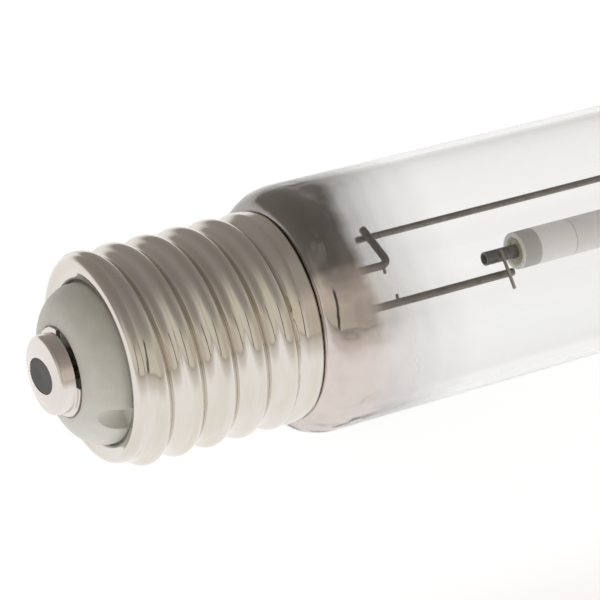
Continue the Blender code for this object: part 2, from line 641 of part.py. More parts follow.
def dome_spring(name, side):
    """One leaf spring, from the bridge of the frame out to the inside of the bulb."""
    rod = rod_place()
    rod_bearing = math.atan2(rod.z, rod.y)
    reach = BULB_BORE - FIT_GAP - SPRING_THICKNESS
    on_bridge = BRIDGE_STATION + ROD_RADIUS + FIT_GAP + SPRING_THICKNESS
    foot = rod.length * SPRING_FOOT_SHARE
    shoulder = rod.length + ROD_RADIUS
    corners = [(on_bridge, foot, 0), (on_bridge, shoulder, 0),
               (on_bridge - SPRING_LENGTH * SPRING_HEEL_SHARE, reach - SPRING_HEEL_GAP, 0),
               (on_bridge - SPRING_LENGTH, reach - SPRING_TIP_GAP, 0)]
    path = bent(corners, SPRING_BEND, 4)
    bm = bmesh.new()
    low = [bm.verts.new((p.x, p.y, -SPRING_WIDTH / 2)) for p in path]
    edges = [bm.edges.new(pair) for pair in zip(low, low[1:])]
    swept = bmesh.ops.extrude_edge_only(bm, edges=edges)["geom"]
    raised = [v for v in swept if isinstance(v, bmesh.types.BMVert)]
    bmesh.ops.translate(bm, verts=raised, vec=(0, 0, SPRING_WIDTH))
    turn = Matrix.Rotation(rod_bearing + (0.0 if side > 0 else math.pi), 4, "X")
    bmesh.ops.transform(bm, verts=bm.verts[:], matrix=turn)
    part = add(bpy.data.objects.new(name, from_bmesh(name, bm)), spring_steel)
    solid = part.modifiers.new("Wall", "SOLIDIFY")
    solid.thickness = SPRING_THICKNESS
    solid.offset = 0.0


# ---- Getters ----

def getter(side, lead_bearing, bearing, station, tip_side):
    """A getter ring in the neck, and its wire, which runs beside a lead and ends across it."""
    centre = place(LEAD_CIRCLE, lead_bearing, GETTER_STATION) + place(GETTER_REACH, bearing)
    bm = bmesh.new()
    section = Matrix.Translation((GETTER_RADIUS, 0, 0)) @ Matrix.Rotation(math.pi / 2, 4, "X")
    bmesh.ops.create_circle(bm, segments=8, radius=GETTER_SECTION, matrix=section)
    bmesh.ops.spin(bm, geom=bm.verts[:] + bm.edges[:], axis=(0, 0, 1), cent=(0, 0, 0),
                   angle=math.tau, steps=20, use_merge=True)
    bmesh.ops.remove_doubles(bm, verts=bm.verts[:], dist=0.000001)
    bmesh.ops.transform(bm, verts=bm.verts[:],
                        matrix=Matrix.Translation(centre) @ Matrix.Rotation(math.pi / 2, 4, "Y"))
    ring = f"{side}_getter_ring"
    add(bpy.data.objects.new(ring, from_bmesh(ring, bm)), getter_steel)

    beside = place(LEAD_RADIUS + GETTER_WIRE_RADIUS + FIT_GAP, GETTER_SIDE)
    across = place(GETTER_TIP * tip_side, GETTER_SIDE + math.pi / 2)
    corner = place(LEAD_CIRCLE, lead_bearing, station) + beside
    on_ring = centre - place(GETTER_RADIUS, bearing)
    on_ring.x += GETTER_SECTION + GETTER_WIRE_RADIUS + FIT_GAP
    knee = corner.copy()
    knee.x = on_ring.x
    bend = GETTER_WIRE_RADIUS * GETTER_BEND_RATIO
    path = bent([corner + across, corner, knee, on_ring], bend, 4)
    wire(f"{side}_getter_wire", path, GETTER_WIRE_RADIUS, getter_steel)


# ---- Arc tube ----

def mirrored(stations):
    """The same stations seen from the other end of the arc tube."""
    return tuple(ARC_START + ARC_END - station for station in stations)


def arc_tube():
    """The alumina tube, open at both ends."""
    tube("arc_tube", ARC_START, ARC_END, ARC_TUBE_RADIUS, ARC_BORE, alumina, 24)


def arc_tube_end(side, far):
    """Plug, frit, niobium tube, electrode and coil of one end of the arc tube."""
    def span(start, end):
        """Two stations in rising order, on this end."""
        stations = (start, end)
        return sorted(mirrored(stations)) if far else stations

    plug_start = ARC_START + PLUG_RECESS
    tube(f"{side}_end_plug", *span(plug_start, plug_start + PLUG_LENGTH), PLUG_RADIUS, PLUG_BORE, alumina)
    frit_end = plug_start - FRIT_THICKNESS
    tube(f"{side}_frit_ring", *span(ARC_START + FRIT_INSET, frit_end), PLUG_RADIUS, PLUG_BORE, frit)
    tube(f"{side}_niobium_tube", *span(ARC_START - NIOBIUM_OUTSIDE, ARC_START + NIOBIUM_INSIDE),
         NIOBIUM_RADIUS, NIOBIUM_RADIUS - NIOBIUM_WALL, niobium)
    tip = ARC_START + ELECTRODE_START + ELECTRODE_LENGTH
    start, end = span(ARC_START + ELECTRODE_START, tip)
    wire(f"{side}_electrode_rod", [Vector((start, 0, 0)), Vector((end, 0, 0))], ELECTRODE_RADIUS, tungsten)
    coil_length = COIL_TURNS * COIL_PITCH
    low, _ = span(tip - COIL_BACK - coil_length, tip - COIL_BACK)
    count = COIL_TURNS * COIL_POINTS
    turns = [place(COIL_RADIUS, math.tau * i / COIL_POINTS, low + COIL_PITCH * i / COIL_POINTS)
             for i in range(count + 1)]
    wire(f"{side}_electrode_coil", turns, COIL_WIRE_RADIUS, tungsten, bevel_resolution=1)


def amalgam_pill():
    """The pill of sodium amalgam, lying in the arc tube."""
    bm = bmesh.new()
    bmesh.ops.create_uvsphere(bm, u_segments=12, v_segments=8, radius=PILL_RADIUS)
    station = ARC_START + PLUG_RECESS + PLUG_LENGTH + PILL_DISTANCE
    drop = ARC_BORE - FIT_GAP - PILL_RADIUS
    bmesh.ops.translate(bm, verts=bm.verts[:], vec=(station, 0, -drop))
    add(bpy.data.objects.new("amalgam_pill", from_bmesh("amalgam_pill", bm)), amalgam)


# ---- Build ----

parts, cutters = clear_scene()
lamp = bpy.data.objects.new("lamp", None)
parts.objects.link(lamp)

nickel = finish("nickel_plate", (0.72, 0.68, 0.64), 0.15, metallic=1.0)
solder = finish("solder", (0.22, 0.23, 0.24), 0.5, metallic=0.6)
ceramic = finish("insulator_ceramic", (0.56, 0.58, 0.54), 0.55)
cement = finish("basing_cement", (0.70, 0.66, 0.58), 0.9)
glass = finish("bulb_glass", (0.95, 0.96, 0.96), 0.02, transmission=1.0)
lead_metal = finish("nickel_wire", (0.36, 0.34, 0.32), 0.4, metallic=1.0)
spring_steel = finish("spring_steel", (0.55, 0.54, 0.52), 0.3, metallic=1.0)
getter_steel = finish("getter_steel", (0.45, 0.43, 0.41), 0.4, metallic=1.0)
niobium = finish("niobium", (0.22, 0.22, 0.22), 0.4, metallic=1.0)
tungsten = finish("tungsten", (0.30, 0.30, 0.31), 0.45, metallic=1.0)
alumina = finish("alumina", (0.88, 0.88, 0.85), 0.4)
frit = finish("sealing_frit", (0.60, 0.62, 0.35), 0.4)
amalgam = finish("sodium_amalgam", (0.62, 0.62, 0.64), 0.3, metallic=1.0)

contact_plate()
contact_solder()
insulator()
screw_shell()
basing_cement()
side_weld()
outer_bulb()
stem_flare()
stem_press()
exhaust_tube()
outer_leads()
inner_leads()
return_rod()
cross_wires()
dome_spring("upper_dome_spring", 1)
dome_spring("lower_dome_spring", -1)
getter("upper", LEAD_BEARING, GETTER_UPPER_BEARING, GETTER_UPPER_STATION, -1)
getter("lower", LEAD_BEARING + math.pi, GETTER_LOWER_BEARING, GETTER_LOWER_STATION, 1)
arc_tube()
arc_tube_end("near", far=False)
arc_tube_end("far", far=True)
amalgam_pill()
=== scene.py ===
"""Looks of a tubular high-pressure sodium grow lamp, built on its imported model.

Lengths are in metres, and the ones typed here are millimetres times MM. The lamp lies along
+X with +Z up. A station is a distance along +X from the front plane of the end contact, and a
bearing is an angle about +X that is 0 at +Y and 90 degrees at +Z.
"""

from __future__ import annotations

import json
import logging
import math
from collections.abc import Callable, Sequence
from dataclasses import dataclass, field
from enum import Enum

import bmesh
import bpy
from mathutils import Matrix, Vector

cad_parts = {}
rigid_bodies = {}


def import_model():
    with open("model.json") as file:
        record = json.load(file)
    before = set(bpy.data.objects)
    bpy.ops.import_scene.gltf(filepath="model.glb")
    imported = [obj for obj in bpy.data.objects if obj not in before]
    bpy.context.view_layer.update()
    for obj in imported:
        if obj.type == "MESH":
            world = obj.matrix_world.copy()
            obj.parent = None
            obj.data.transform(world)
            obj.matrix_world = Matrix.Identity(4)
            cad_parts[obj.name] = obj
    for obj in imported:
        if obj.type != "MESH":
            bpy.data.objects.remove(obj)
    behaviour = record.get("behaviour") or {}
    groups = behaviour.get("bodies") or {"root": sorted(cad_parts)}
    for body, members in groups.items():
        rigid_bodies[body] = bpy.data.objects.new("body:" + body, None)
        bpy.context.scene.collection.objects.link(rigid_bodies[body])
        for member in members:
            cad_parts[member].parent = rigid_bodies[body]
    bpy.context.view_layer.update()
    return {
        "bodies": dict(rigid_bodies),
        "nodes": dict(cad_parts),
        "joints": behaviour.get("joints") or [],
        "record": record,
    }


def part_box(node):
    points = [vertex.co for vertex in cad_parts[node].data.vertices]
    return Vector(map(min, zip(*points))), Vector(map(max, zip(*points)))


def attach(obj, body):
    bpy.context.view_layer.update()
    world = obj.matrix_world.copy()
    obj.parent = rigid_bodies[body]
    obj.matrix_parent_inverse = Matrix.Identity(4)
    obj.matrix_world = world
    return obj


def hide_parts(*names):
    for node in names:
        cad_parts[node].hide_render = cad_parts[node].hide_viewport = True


MM = 0.001
BODY = "root"
LOG = logging.getLogger("grow_lamp")

Colour = tuple[float, float, float]
Outline = list[tuple[float, float]]


class Slot(Enum):
    """The record's material slots."""

    NICKEL_PLATE = "nickel_plate"
    SOLDER = "solder"
    INSULATOR = "insulator_ceramic"
    CEMENT = "basing_cement"
    GLASS = "bulb_glass"
    WIRE = "nickel_wire"
    SPRING = "spring_steel"
    GETTER = "getter_steel"
    NIOBIUM = "niobium"
    TUNGSTEN = "tungsten"
    ALUMINA = "alumina"
    FRIT = "sealing_frit"
    AMALGAM = "sodium_amalgam"


class End(Enum):
    """The two ends of the arc tube."""

    NEAR = "near"
    FAR = "far"


# ---------------------------------------------------------------------------------------------
# Small geometry
# ---------------------------------------------------------------------------------------------


def on_circle(radius: float, bearing: float, station: float = 0.0) -> Vector:
    """Find a point from its cylinder coordinates.

    Args:
        radius: Distance from the lamp's axis.
        bearing: Angle about the axis, in radians.
        station: Distance along the axis.

    Returns:
        The point.
    """
    return Vector((station, radius * math.cos(bearing), radius * math.sin(bearing)))


def smooth_step(value: float, low: float, high: float) -> float:
    """Rise smoothly from 0 at low to 1 at high."""
    share = min(1.0, max(0.0, (value - low) / (high - low)))
    return share * share * (3.0 - 2.0 * share)


def ellipse_arc(centre: tuple[float, float], along: float, across: float, start: float, end: float,
                count: int) -> Outline:
    """Lay points on part of an ellipse.

    Args:
        centre: Station and radius of the ellipse's centre.
        along: Half its length along the axis.
        across: Half its width across the axis.
        start: First angle, in radians.
        end: Last angle, in radians.
        count: Number of points.

    Returns:
        The points, as station and radius.
    """
    angles = [start + (end - start) * i / (count - 1) for i in range(count)]
    return [(centre[0] + along * math.cos(a), centre[1] + across * math.sin(a)) for a in angles]


def crowned_line(start: tuple[float, float], end: tuple[float, float], crown: float,
                 count: int) -> Outline:
    """Lay points on a shallow arc between two ends.

    Args:
        start: First station and radius.
        end: Last station and radius.
        crown: Height of the middle of the arc, to the left of the way from start to end.
        count: Number of points.

    Returns:
        The points, as station and radius.
    """
    first, last = Vector(start), Vector(end)
    chord = last - first
    half = chord.length / 2
    radius = (half * half + crown * crown) / (2 * abs(crown))
    side = math.copysign(1.0, crown)
    normal = Vector((-chord.y, chord.x)).normalized() * side
    centre = (first + last) / 2 - normal * (radius - abs(crown))
    sweep = 2 * math.asin(min(1.0, half / radius)) * side
    spoke = first - centre
    turned = [Matrix.Rotation(-sweep * i / (count - 1), 2) @ spoke for i in range(count)]
    return [tuple(centre + turn) for turn in turned]


def bent_path(points: Sequence[Vector], radius: float, count: int = 9) -> list[Vector]:
    """Round the corners of a path.

    Args:
        points: The path's ends and corners.
        radius: Radius of each bend.
        count: Number of points in each bend.

    Returns:
        The path's points.
    """
    path = [points[0].copy()]
    for before, corner, after in zip(points, points[1:], points[2:]):
        back, ahead = (before - corner).normalized(), (after - corner).normalized()
        half = back.angle(ahead) / 2
        reach = radius / math.tan(half)
        centre = corner + (back + ahead).normalized() * radius / math.sin(half)
        first = (corner + back * reach - centre).normalized()
        last = (corner + ahead * reach - centre).normalized()
        path += [centre + first.slerp(last, i / (count - 1)) * radius for i in range(count)]
    return path + [points[-1].copy()]


@dataclass(frozen=True)
class Envelope:
    """The box of one CAD node, read as a piece about the lamp's axis."""

    start: float
    end: float
    radius: float

    @classmethod
    def of(cls, node: str) -> Envelope:
        """Read a node's box.

        Args:
            node: The CAD node's name.

        Returns:
            Its first and last station, and its largest distance from the axis.
        """
        low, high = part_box(node)
        return cls(low.x, high.x, max(high.y, high.z, -low.y, -low.z))


# ---------------------------------------------------------------------------------------------
# Shaping meshes
# ---------------------------------------------------------------------------------------------


class Blank:
    """A bmesh that is being shaped into one piece."""

    def __init__(self) -> None:
        """Start empty."""
        self.bm = bmesh.new()

    def turn_outline(self, outline: Outline, steps: int, closed: bool = True) -> Blank:
        """Spin an outline about the lamp's axis.

        Args:
            outline: Stations and radii.
            steps: Number of steps in the full turn.
            closed: Whether the outline's last point joins its first.

        Returns:
            This blank.
        """
        verts = [self.bm.verts.new((station, radius, 0.0)) for station, radius in outline]
        edges = [self.bm.edges.new(pair) for pair in zip(verts, verts[1:])]
        if closed:
            edges.append(self.bm.edges.new((verts[-1], verts[0])))
        bmesh.ops.spin(self.bm, geom=verts + edges, axis=(1.0, 0.0, 0.0), cent=(0.0, 0.0, 0.0),
                       angle=math.tau, steps=steps, use_merge=True)
        bmesh.ops.remove_doubles(self.bm, verts=self.bm.verts[:], dist=0.000001)
        bmesh.ops.recalc_face_normals(self.bm, faces=self.bm.faces[:])
        return self

    def draw_wire(self, path: Sequence[Vector], radius: float, sides: int = 20,
                  end_round: float = 0.3) -> Blank:
        """Draw a round wire along a path, with the edges of its cut ends rounded.

        Args:
            path: The points of the wire's axis.
            radius: The wire's radius.
            sides: Number of sides of the round section.
            end_round: How much of the radius each end's edge is rounded by.

        Returns:
            This blank.
        """
        frames = self._frames_along(path)
        first, last = frames[0], frames[-1]
        rings: list[Matrix] = []
        for turn in (0.0, 0.5, 1.0):
            inset = radius * end_round * (1.0 - math.sin(turn * math.pi / 2))
            back = radius * end_round * (1.0 - math.cos(turn * math.pi / 2))
            size = Matrix.Diagonal((1.0 - inset / radius, 1.0 - inset / radius, 1.0, 1.0))
            rings.append(first @ Matrix.Translation((0, 0, back)) @ size)
        rings += frames[1:-1]
        for turn in (1.0, 0.5, 0.0):
            inset = radius * end_round * (1.0 - math.sin(turn * math.pi / 2))
            back = radius * end_round * (1.0 - math.cos(turn * math.pi / 2))
            size = Matrix.Diagonal((1.0 - inset / radius, 1.0 - inset / radius, 1.0, 1.0))
            rings.append(last @ Matrix.Translation((0, 0, -back)) @ size)
        made = bmesh.ops.create_circle(self.bm, segments=sides, radius=radius, matrix=rings[0])
        ring = [e for e in self.bm.edges if all(v in made["verts"] for v in e.verts)]
        caps = [ring]
        for before, after in zip(rings, rings[1:]):
            swept = bmesh.ops.extrude_edge_only(self.bm, edges=ring)["geom"]
            moved = [v for v in swept if isinstance(v, bmesh.types.BMVert)]
            bmesh.ops.transform(self.bm, verts=moved, matrix=after @ before.inverted())
            ring = [e for e in swept if isinstance(e, bmesh.types.BMEdge)]
        caps.append(ring)
        for cap in caps:
            bmesh.ops.edgeloop_fill(self.bm, edges=cap)
        bmesh.ops.recalc_face_normals(self.bm, faces=self.bm.faces[:])
        return self

    @staticmethod
    def _frames_along(path: Sequence[Vector]) -> list[Matrix]:
        """Carry a frame along a path without twisting it.

        Args:
            path: The path's points.

        Returns:
            One matrix at each point, with its Z axis along the path.
        """
        ways = [(b - a).normalized() for a, b in zip(path, path[1:])]
        tangents = [ways[0]] + [(a + b).normalized() for a, b in zip(ways, ways[1:])] + [ways[-1]]
        turn = tangents[0].to_track_quat("Z", "Y")
        frames = [Matrix.Translation(path[0]) @ turn.to_matrix().to_4x4()]
        for before, after, point in zip(tangents, tangents[1:], path[1:]):
            turn = before.rotation_difference(after) @ turn
            frames.append(Matrix.Translation(point) @ turn.to_matrix().to_4x4())
        return frames

    def to_mesh(self, name: str, sharp_angle: float = 35.0) -> bpy.types.Mesh:
        """Turn the blank into a smooth mesh.

        Args:
            name: The mesh's name.
            sharp_angle: Edges sharper than this many degrees stay sharp.

        Returns:
            The mesh.
        """
        mesh = bpy.data.meshes.new(name)
        self.bm.to_mesh(mesh)
        self.bm.free()
        mesh.shade_smooth()
        mesh.set_sharp_from_angle(angle=math.radians(sharp_angle))
        return mesh


def show(name: str, mesh: bpy.types.Mesh) -> bpy.types.Object:
    """Put a mesh in the scene as an object at the origin."""
    obj = bpy.data.objects.new(name, mesh)
    bpy.context.scene.collection.objects.link(obj)
    return obj


def settle(obj: bpy.types.Object) -> None:
    """Apply every modifier of an object to its mesh."""
    bpy.context.view_layer.update()
    evaluated = obj.evaluated_get(bpy.context.evaluated_depsgraph_get())
    mesh = bpy.data.meshes.new_from_object(evaluated)
    old = obj.data
    obj.modifiers.clear()
    obj.data = mesh
    mesh.name = obj.name
    bpy.data.meshes.remove(old)


def carve(obj: bpy.types.Object, tools: Sequence[Blank]) -> None:
    """Cut an object with closed blanks.

    Args:
        obj: The object to cut.
        tools: The blanks that are taken away.
    """
    cutters = [show(f"{obj.name}_tool", tool.to_mesh(f"{obj.name}_tool")) for tool in tools]
    for cutter in cutters:
        boolean = obj.modifiers.new("Cut", "BOOLEAN")
        boolean.operation = "DIFFERENCE"
        boolean.solver = "EXACT"
        boolean.object = cutter
    settle(obj)
    for cutter in cutters:
        mesh = cutter.data
        bpy.data.objects.remove(cutter, do_unlink=True)
        bpy.data.meshes.remove(mesh)


def soften_edges(obj: bpy.types.Object, width: float, segments: int = 3,
                 angle: float = 32.0) -> None:
    """Round the sharp edges of an object.

    Args:
        obj: The object.
        width: Width of the rounding.
        segments: Number of faces across it.
        angle: Edges sharper than this many degrees are rounded.
    """
    bevel = obj.modifiers.new("Edges", "BEVEL")
    bevel.width = width
    bevel.segments = segments
    bevel.limit_method = "ANGLE"
    bevel.angle_limit = math.radians(angle)
    bevel.harden_normals = True
    settle(obj)


# ---------------------------------------------------------------------------------------------
# Finishes
# ---------------------------------------------------------------------------------------------


class Recipe:
    """A node tree under construction, with short ways to add and join nodes."""

    def __init__(self, tree: bpy.types.NodeTree) -> None:
        """Start from an empty tree.

        Args:
            tree: The node tree of a material or of the world.
        """
        self.tree = tree
        tree.nodes.clear()

    def add(self, kind: str, **settings: object) -> bpy.types.Node:
        """Add a node.

        Args:
            kind: The node's type name.
            settings: Attributes to set on it.

        Returns:
            The node.
        """
        node = self.tree.nodes.new(kind)
        for key, value in settings.items():
            setattr(node, key, value)
        return node

    def feed(self, socket: bpy.types.NodeSocket, value: object) -> None:
        """Join another node's output to a socket, or set a constant on it."""
        if isinstance(value, bpy.types.NodeSocket):
            self.tree.links.new(value, socket)
        else:
            socket.default_value = value

    def place_in_mm(self, stretch: Colour = (1.0, 1.0, 1.0)) -> bpy.types.NodeSocket:
        """Read the surface's place, in millimetres.

        Args:
            stretch: How many times finer the pattern is along each axis.

        Returns:
            The vector.
        """
        coordinates = self.add("ShaderNodeTexCoord")
        mapping = self.add("ShaderNodeMapping")
        mapping.inputs["Scale"].default_value = [1000.0 * s for s in stretch]
        self.feed(mapping.inputs["Vector"], coordinates.outputs["Object"])
        return mapping.outputs["Vector"]

    def noise(self, vector: bpy.types.NodeSocket, scale: float, detail: float = 3.0,
              roughness: float = 0.5) -> bpy.types.NodeSocket:
        """Add a noise pattern.

        Args:
            vector: Where it is read.
            scale: Number of features in each unit of the vector.
            detail: Number of finer layers.
            roughness: Strength of the finer layers.

        Returns:
            The noise, from 0 to 1.
        """
        node = self.add("ShaderNodeTexNoise")
        self.feed(node.inputs["Vector"], vector)
        node.inputs["Scale"].default_value = scale
        node.inputs["Detail"].default_value = detail
        node.inputs["Roughness"].default_value = roughness
        return node.outputs["Fac"]

    def blend(self, factor: object, stops: Sequence[tuple[float, Colour]],
              interpolation: str = "LINEAR") -> bpy.types.NodeSocket:
        """Turn a factor into a colour with a ramp.

        Args:
            factor: The factor.
            stops: Positions and colours.
            interpolation: How the ramp passes between them.

        Returns:
            The colour.
        """
        node = self.add("ShaderNodeValToRGB")
        node.color_ramp.interpolation = interpolation
        elements = node.color_ramp.elements
        while len(elements) < len(stops):
            elements.new(1.0)
        for element, (position, colour) in zip(elements, stops):
            element.position = position
            element.color = (*colour, 1.0)
        self.feed(node.inputs["Fac"], factor)
        return node.outputs["Color"]

    def span(self, value: object, source: tuple[float, float], target: tuple[float, float],
             smooth: bool = False) -> bpy.types.NodeSocket:
        """Map a value from one range to another, clamped.

        Args:
            value: The value.
            source: The range that it is read in.
            target: The range that it is given in.
            smooth: Whether it eases in and out.

        Returns:
            The mapped value.
        """
        kind = "SMOOTHSTEP" if smooth else "LINEAR"
        node = self.add("ShaderNodeMapRange", interpolation_type=kind)
        self.feed(node.inputs["Value"], value)
        node.inputs["From Min"].default_value, node.inputs["From Max"].default_value = source
        node.inputs["To Min"].default_value, node.inputs["To Max"].default_value = target
        return node.outputs["Result"]

    def sum(self, operation: str, first: object, second: object = 0.0) -> bpy.types.NodeSocket:
        """Do one sum on two values.

        Args:
            operation: The sum's name.
            first: The first value.
            second: The second value.

        Returns:
            The result.
        """
        node = self.add("ShaderNodeMath", operation=operation)
        self.feed(node.inputs[0], first)
        self.feed(node.inputs[1], second)
        return node.outputs["Value"]

    def mix(self, factor: object, first: object, second: object) -> bpy.types.NodeSocket:
        """Mix two colours.

        Args:
            factor: Share of the second colour.
            first: The first colour.
            second: The second colour.

        Returns:
            The mixed colour.
        """
        node = self.add("ShaderNodeMix", data_type="RGBA")
        self.feed(node.inputs[0], factor)
        for socket, value in zip((node.inputs[6], node.inputs[7]), (first, second)):
            self.feed(socket, (*value, 1.0) if isinstance(value, tuple) else value)
        return node.outputs[2]

    def bump(self, height: bpy.types.NodeSocket, depth: float,
             under: bpy.types.NodeSocket | None = None) -> bpy.types.NodeSocket:
        """Turn a height into a bumped normal.

        Args:
            height: The height, from 0 to 1.
            depth: Depth of the relief, in metres.
            under: A normal that this relief lies on.

        Returns:
            The normal.
        """
        node = self.add("ShaderNodeBump")
        node.inputs["Strength"].default_value = 1.0
        node.inputs["Distance"].default_value = depth
        self.feed(node.inputs["Height"], height)
        if under is not None:
            self.feed(node.inputs["Normal"], under)
        return node.outputs["Normal"]

    def surface(self, **inputs: object) -> bpy.types.Node:
        """Add the shader and the output.

        Args:
            inputs: Values by socket name, with underscores for spaces.

        Returns:
            The shader node.
        """
        shader = self.add("ShaderNodeBsdfPrincipled")
        output = self.add("ShaderNodeOutputMaterial")
        self.feed(output.inputs["Surface"], shader.outputs["BSDF"])
        for key, value in inputs.items():
            if isinstance(value, tuple) and len(value) == 3:
                value = (*value, 1.0)
            self.feed(shader.inputs[key.replace("_", " ")], value)
        return shader


def new_recipe(name: str) -> tuple[bpy.types.Material, Recipe]:
    """Start a material.

    Args:
        name: The material's name.

    Returns:
        The material, and the recipe of its nodes.
    """
    material = bpy.data.materials.new(name)
    material.use_nodes = True
    return material, Recipe(material.node_tree)


@dataclass(frozen=True)
class PlatedNickel:
    """Bright nickel plate over drawn brass, with fine draw lines and a faint stain."""

    name: str = "nickel_plate_bright"
    clean: Colour = (0.730, 0.692, 0.645)
    stained: Colour = (0.685, 0.643, 0.568)
    smooth: float = 0.07
    dull: float = 0.17
    line_depth: float = 0.0006 * MM
    ripple_depth: float = 0.022 * MM

    def make(self) -> bpy.types.Material:
        """Build the material."""
        material, recipe = new_recipe(self.name)
        along_thread = recipe.place_in_mm((1.0, 0.05, 0.05))
        lines = recipe.noise(along_thread, 7.0, 4.0, 0.65)
        stain = recipe.noise(recipe.place_in_mm((1.0, 0.12, 0.12)), 0.42, 3.0, 0.55)
        smear = recipe.noise(along_thread, 1.1, 3.0, 0.6)
        colour = recipe.mix(recipe.span(stain, (0.42, 0.66), (0.0, 1.0), smooth=True),
                            self.clean, self.stained)
        roughness = recipe.span(smear, (0.35, 0.75), (self.smooth, self.dull))
        drawn = recipe.place_in_mm((1.0, 0.12, 0.12))
        ripple = recipe.bump(recipe.noise(drawn, 1.15, 2.0, 0.45), self.ripple_depth)
        normal = recipe.bump(lines, self.line_depth, ripple)
        recipe.surface(Base_Color=colour, Metallic=1.0, Roughness=roughness, Normal=normal)
        return material


@dataclass(frozen=True)
class FusedInsulator:
    """Pale grey-green insulating glass, cast against the shell, with a dull skin."""

    name: str = "insulator_cast"
    pale: Colour = (0.690, 0.695, 0.645)
    deep: Colour = (0.645, 0.648, 0.597)

    def make(self) -> bpy.types.Material:
        """Build the material."""
        material, recipe = new_recipe(self.name)
        body = recipe.place_in_mm()
        cloud = recipe.noise(body, 0.35, 4.0, 0.55)
        grain = recipe.noise(body, 9.0, 3.0, 0.6)
        colour = recipe.blend(cloud, [(0.36, self.deep), (0.64, self.pale)])
        roughness = recipe.span(grain, (0.3, 0.7), (0.38, 0.52))
        skin = recipe.bump(grain, 0.008 * MM)
        recipe.surface(Base_Color=colour, Roughness=roughness, Normal=skin, IOR=1.5,
                       Subsurface_Weight=0.15, Subsurface_Scale=0.0008)
        return material


@dataclass(frozen=True)
class DullSolder:
    """Dark grey tin-lead solder with a frozen, slightly grainy skin."""

    name: str = "solder_dull"
    dark: Colour = (0.050, 0.050, 0.050)
    light: Colour = (0.092, 0.092, 0.089)

    def make(self) -> bpy.types.Material:
        """Build the material."""
        material, recipe = new_recipe(self.name)
        body = recipe.place_in_mm()
        crystals = recipe.noise(body, 1.6, 4.0, 0.6)
        colour = recipe.blend(crystals, [(0.38, self.dark), (0.66, self.light)])
        skin = recipe.bump(recipe.noise(body, 4.0, 3.0, 0.6), 0.02 * MM)
        recipe.surface(Base_Color=colour, Metallic=0.35, Normal=skin,
                       Roughness=recipe.span(crystals, (0.3, 0.7), (0.42, 0.6)))
        return material


@dataclass(frozen=True)
class ClearGlass:
    """Clear hard glass with a barely uneven, drawn surface."""

    name: str
    tint: Colour = (0.965, 0.965, 0.960)
    wave_depth: float = 0.002 * MM

    def make(self) -> bpy.types.Material:
        """Build the material."""
        material, recipe = new_recipe(self.name)
        wave = recipe.noise(recipe.place_in_mm((0.3, 1.0, 1.0)), 0.12, 2.0, 0.4)
        recipe.surface(Base_Color=self.tint, Roughness=0.0, IOR=1.48, Transmission_Weight=1.0,
                       Normal=recipe.bump(wave, self.wave_depth))
        return material


@dataclass(frozen=True)
class GetterMirror:
    """The metal film that the getters leave inside the bulb, fading out along the glass.

    Painted shade, read from a point attribute, darkens the film by bearing, most over its top: a
    painted reflection of the dim room above it.
    """

    name: str = "getter_mirror_film"
    bright: Colour = (0.70, 0.625, 0.590)
    # Painted shade colours: the thick film and the thin film where the painted shade is full.
    painted_dark: Colour = (0.30, 0.285, 0.265)
    thin: Colour = (0.31, 0.30, 0.285)
    faint: Colour = (0.60, 0.555, 0.535)
    waviness: float = 0.2 * MM
    film: str = "film"
    painted_shade: str = "painted_shade"

    def make(self) -> bpy.types.Material:
        """Build the material."""
        material, recipe = new_recipe(self.name)
        film = recipe.add("ShaderNodeAttribute", attribute_name=self.film).outputs["Fac"]
        painted_shade = recipe.add("ShaderNodeAttribute", attribute_name=self.painted_shade).outputs["Fac"]
        cloud = recipe.noise(recipe.place_in_mm((1.0, 0.6, 0.6)), 0.3, 3.0, 0.5)
        uneven = recipe.sum("MULTIPLY", film, recipe.span(cloud, (0.3, 0.7), (0.92, 1.06)))
        # Painted shade: the attribute, made uneven by the cloud, darkens the thick film and the
        # thin film.
        painted_dark = recipe.sum("ADD", painted_shade, recipe.span(cloud, (0.3, 0.7), (-0.10, 0.10)))
        thick = recipe.mix(recipe.span(painted_dark, (0.05, 0.95), (0.0, 1.0)), self.bright, self.painted_dark)
        thin = recipe.mix(recipe.span(painted_shade, (0.05, 0.35), (0.0, 1.0)), self.faint, self.thin)
        colour = recipe.mix(recipe.span(film, (0.20, 0.95), (0.0, 1.0), smooth=True), thin, thick)
        waves = recipe.noise(recipe.place_in_mm((0.7, 1.0, 1.0)), 0.16, 2.0, 0.45)
        recipe.surface(Base_Color=colour, Metallic=1.0,
                       Alpha=recipe.span(uneven, (0.0, 0.97), (0.0, 1.0)),
                       Roughness=recipe.span(film, (0.3, 0.9), (0.30, 0.05)),
                       Normal=recipe.bump(waves, self.waviness))
        return material


@dataclass(frozen=True)
class DrawnMetal:
    """A drawn or formed bare metal: wire, strip or thin tube."""

    name: str
    dark: Colour
    light: Colour
    roughness: float = 0.38
    line_depth: float = 0.002 * MM

    def make(self) -> bpy.types.Material:
        """Build the material."""
        material, recipe = new_recipe(self.name)
        lengthwise = recipe.place_in_mm((0.08, 1.0, 1.0))
        body = recipe.place_in_mm()
        lines = recipe.noise(lengthwise, 9.0, 4.0, 0.65)
        patches = recipe.noise(body, 0.5, 4.0, 0.6)
        colour = recipe.blend(patches, [(0.34, self.dark), (0.70, self.light)])
        roughness = recipe.span(patches, (0.3, 0.7), (self.roughness - 0.06, self.roughness + 0.1))
        recipe.surface(Base_Color=colour, Metallic=1.0, Roughness=roughness,
                       Normal=recipe.bump(lines, self.line_depth))
        return material


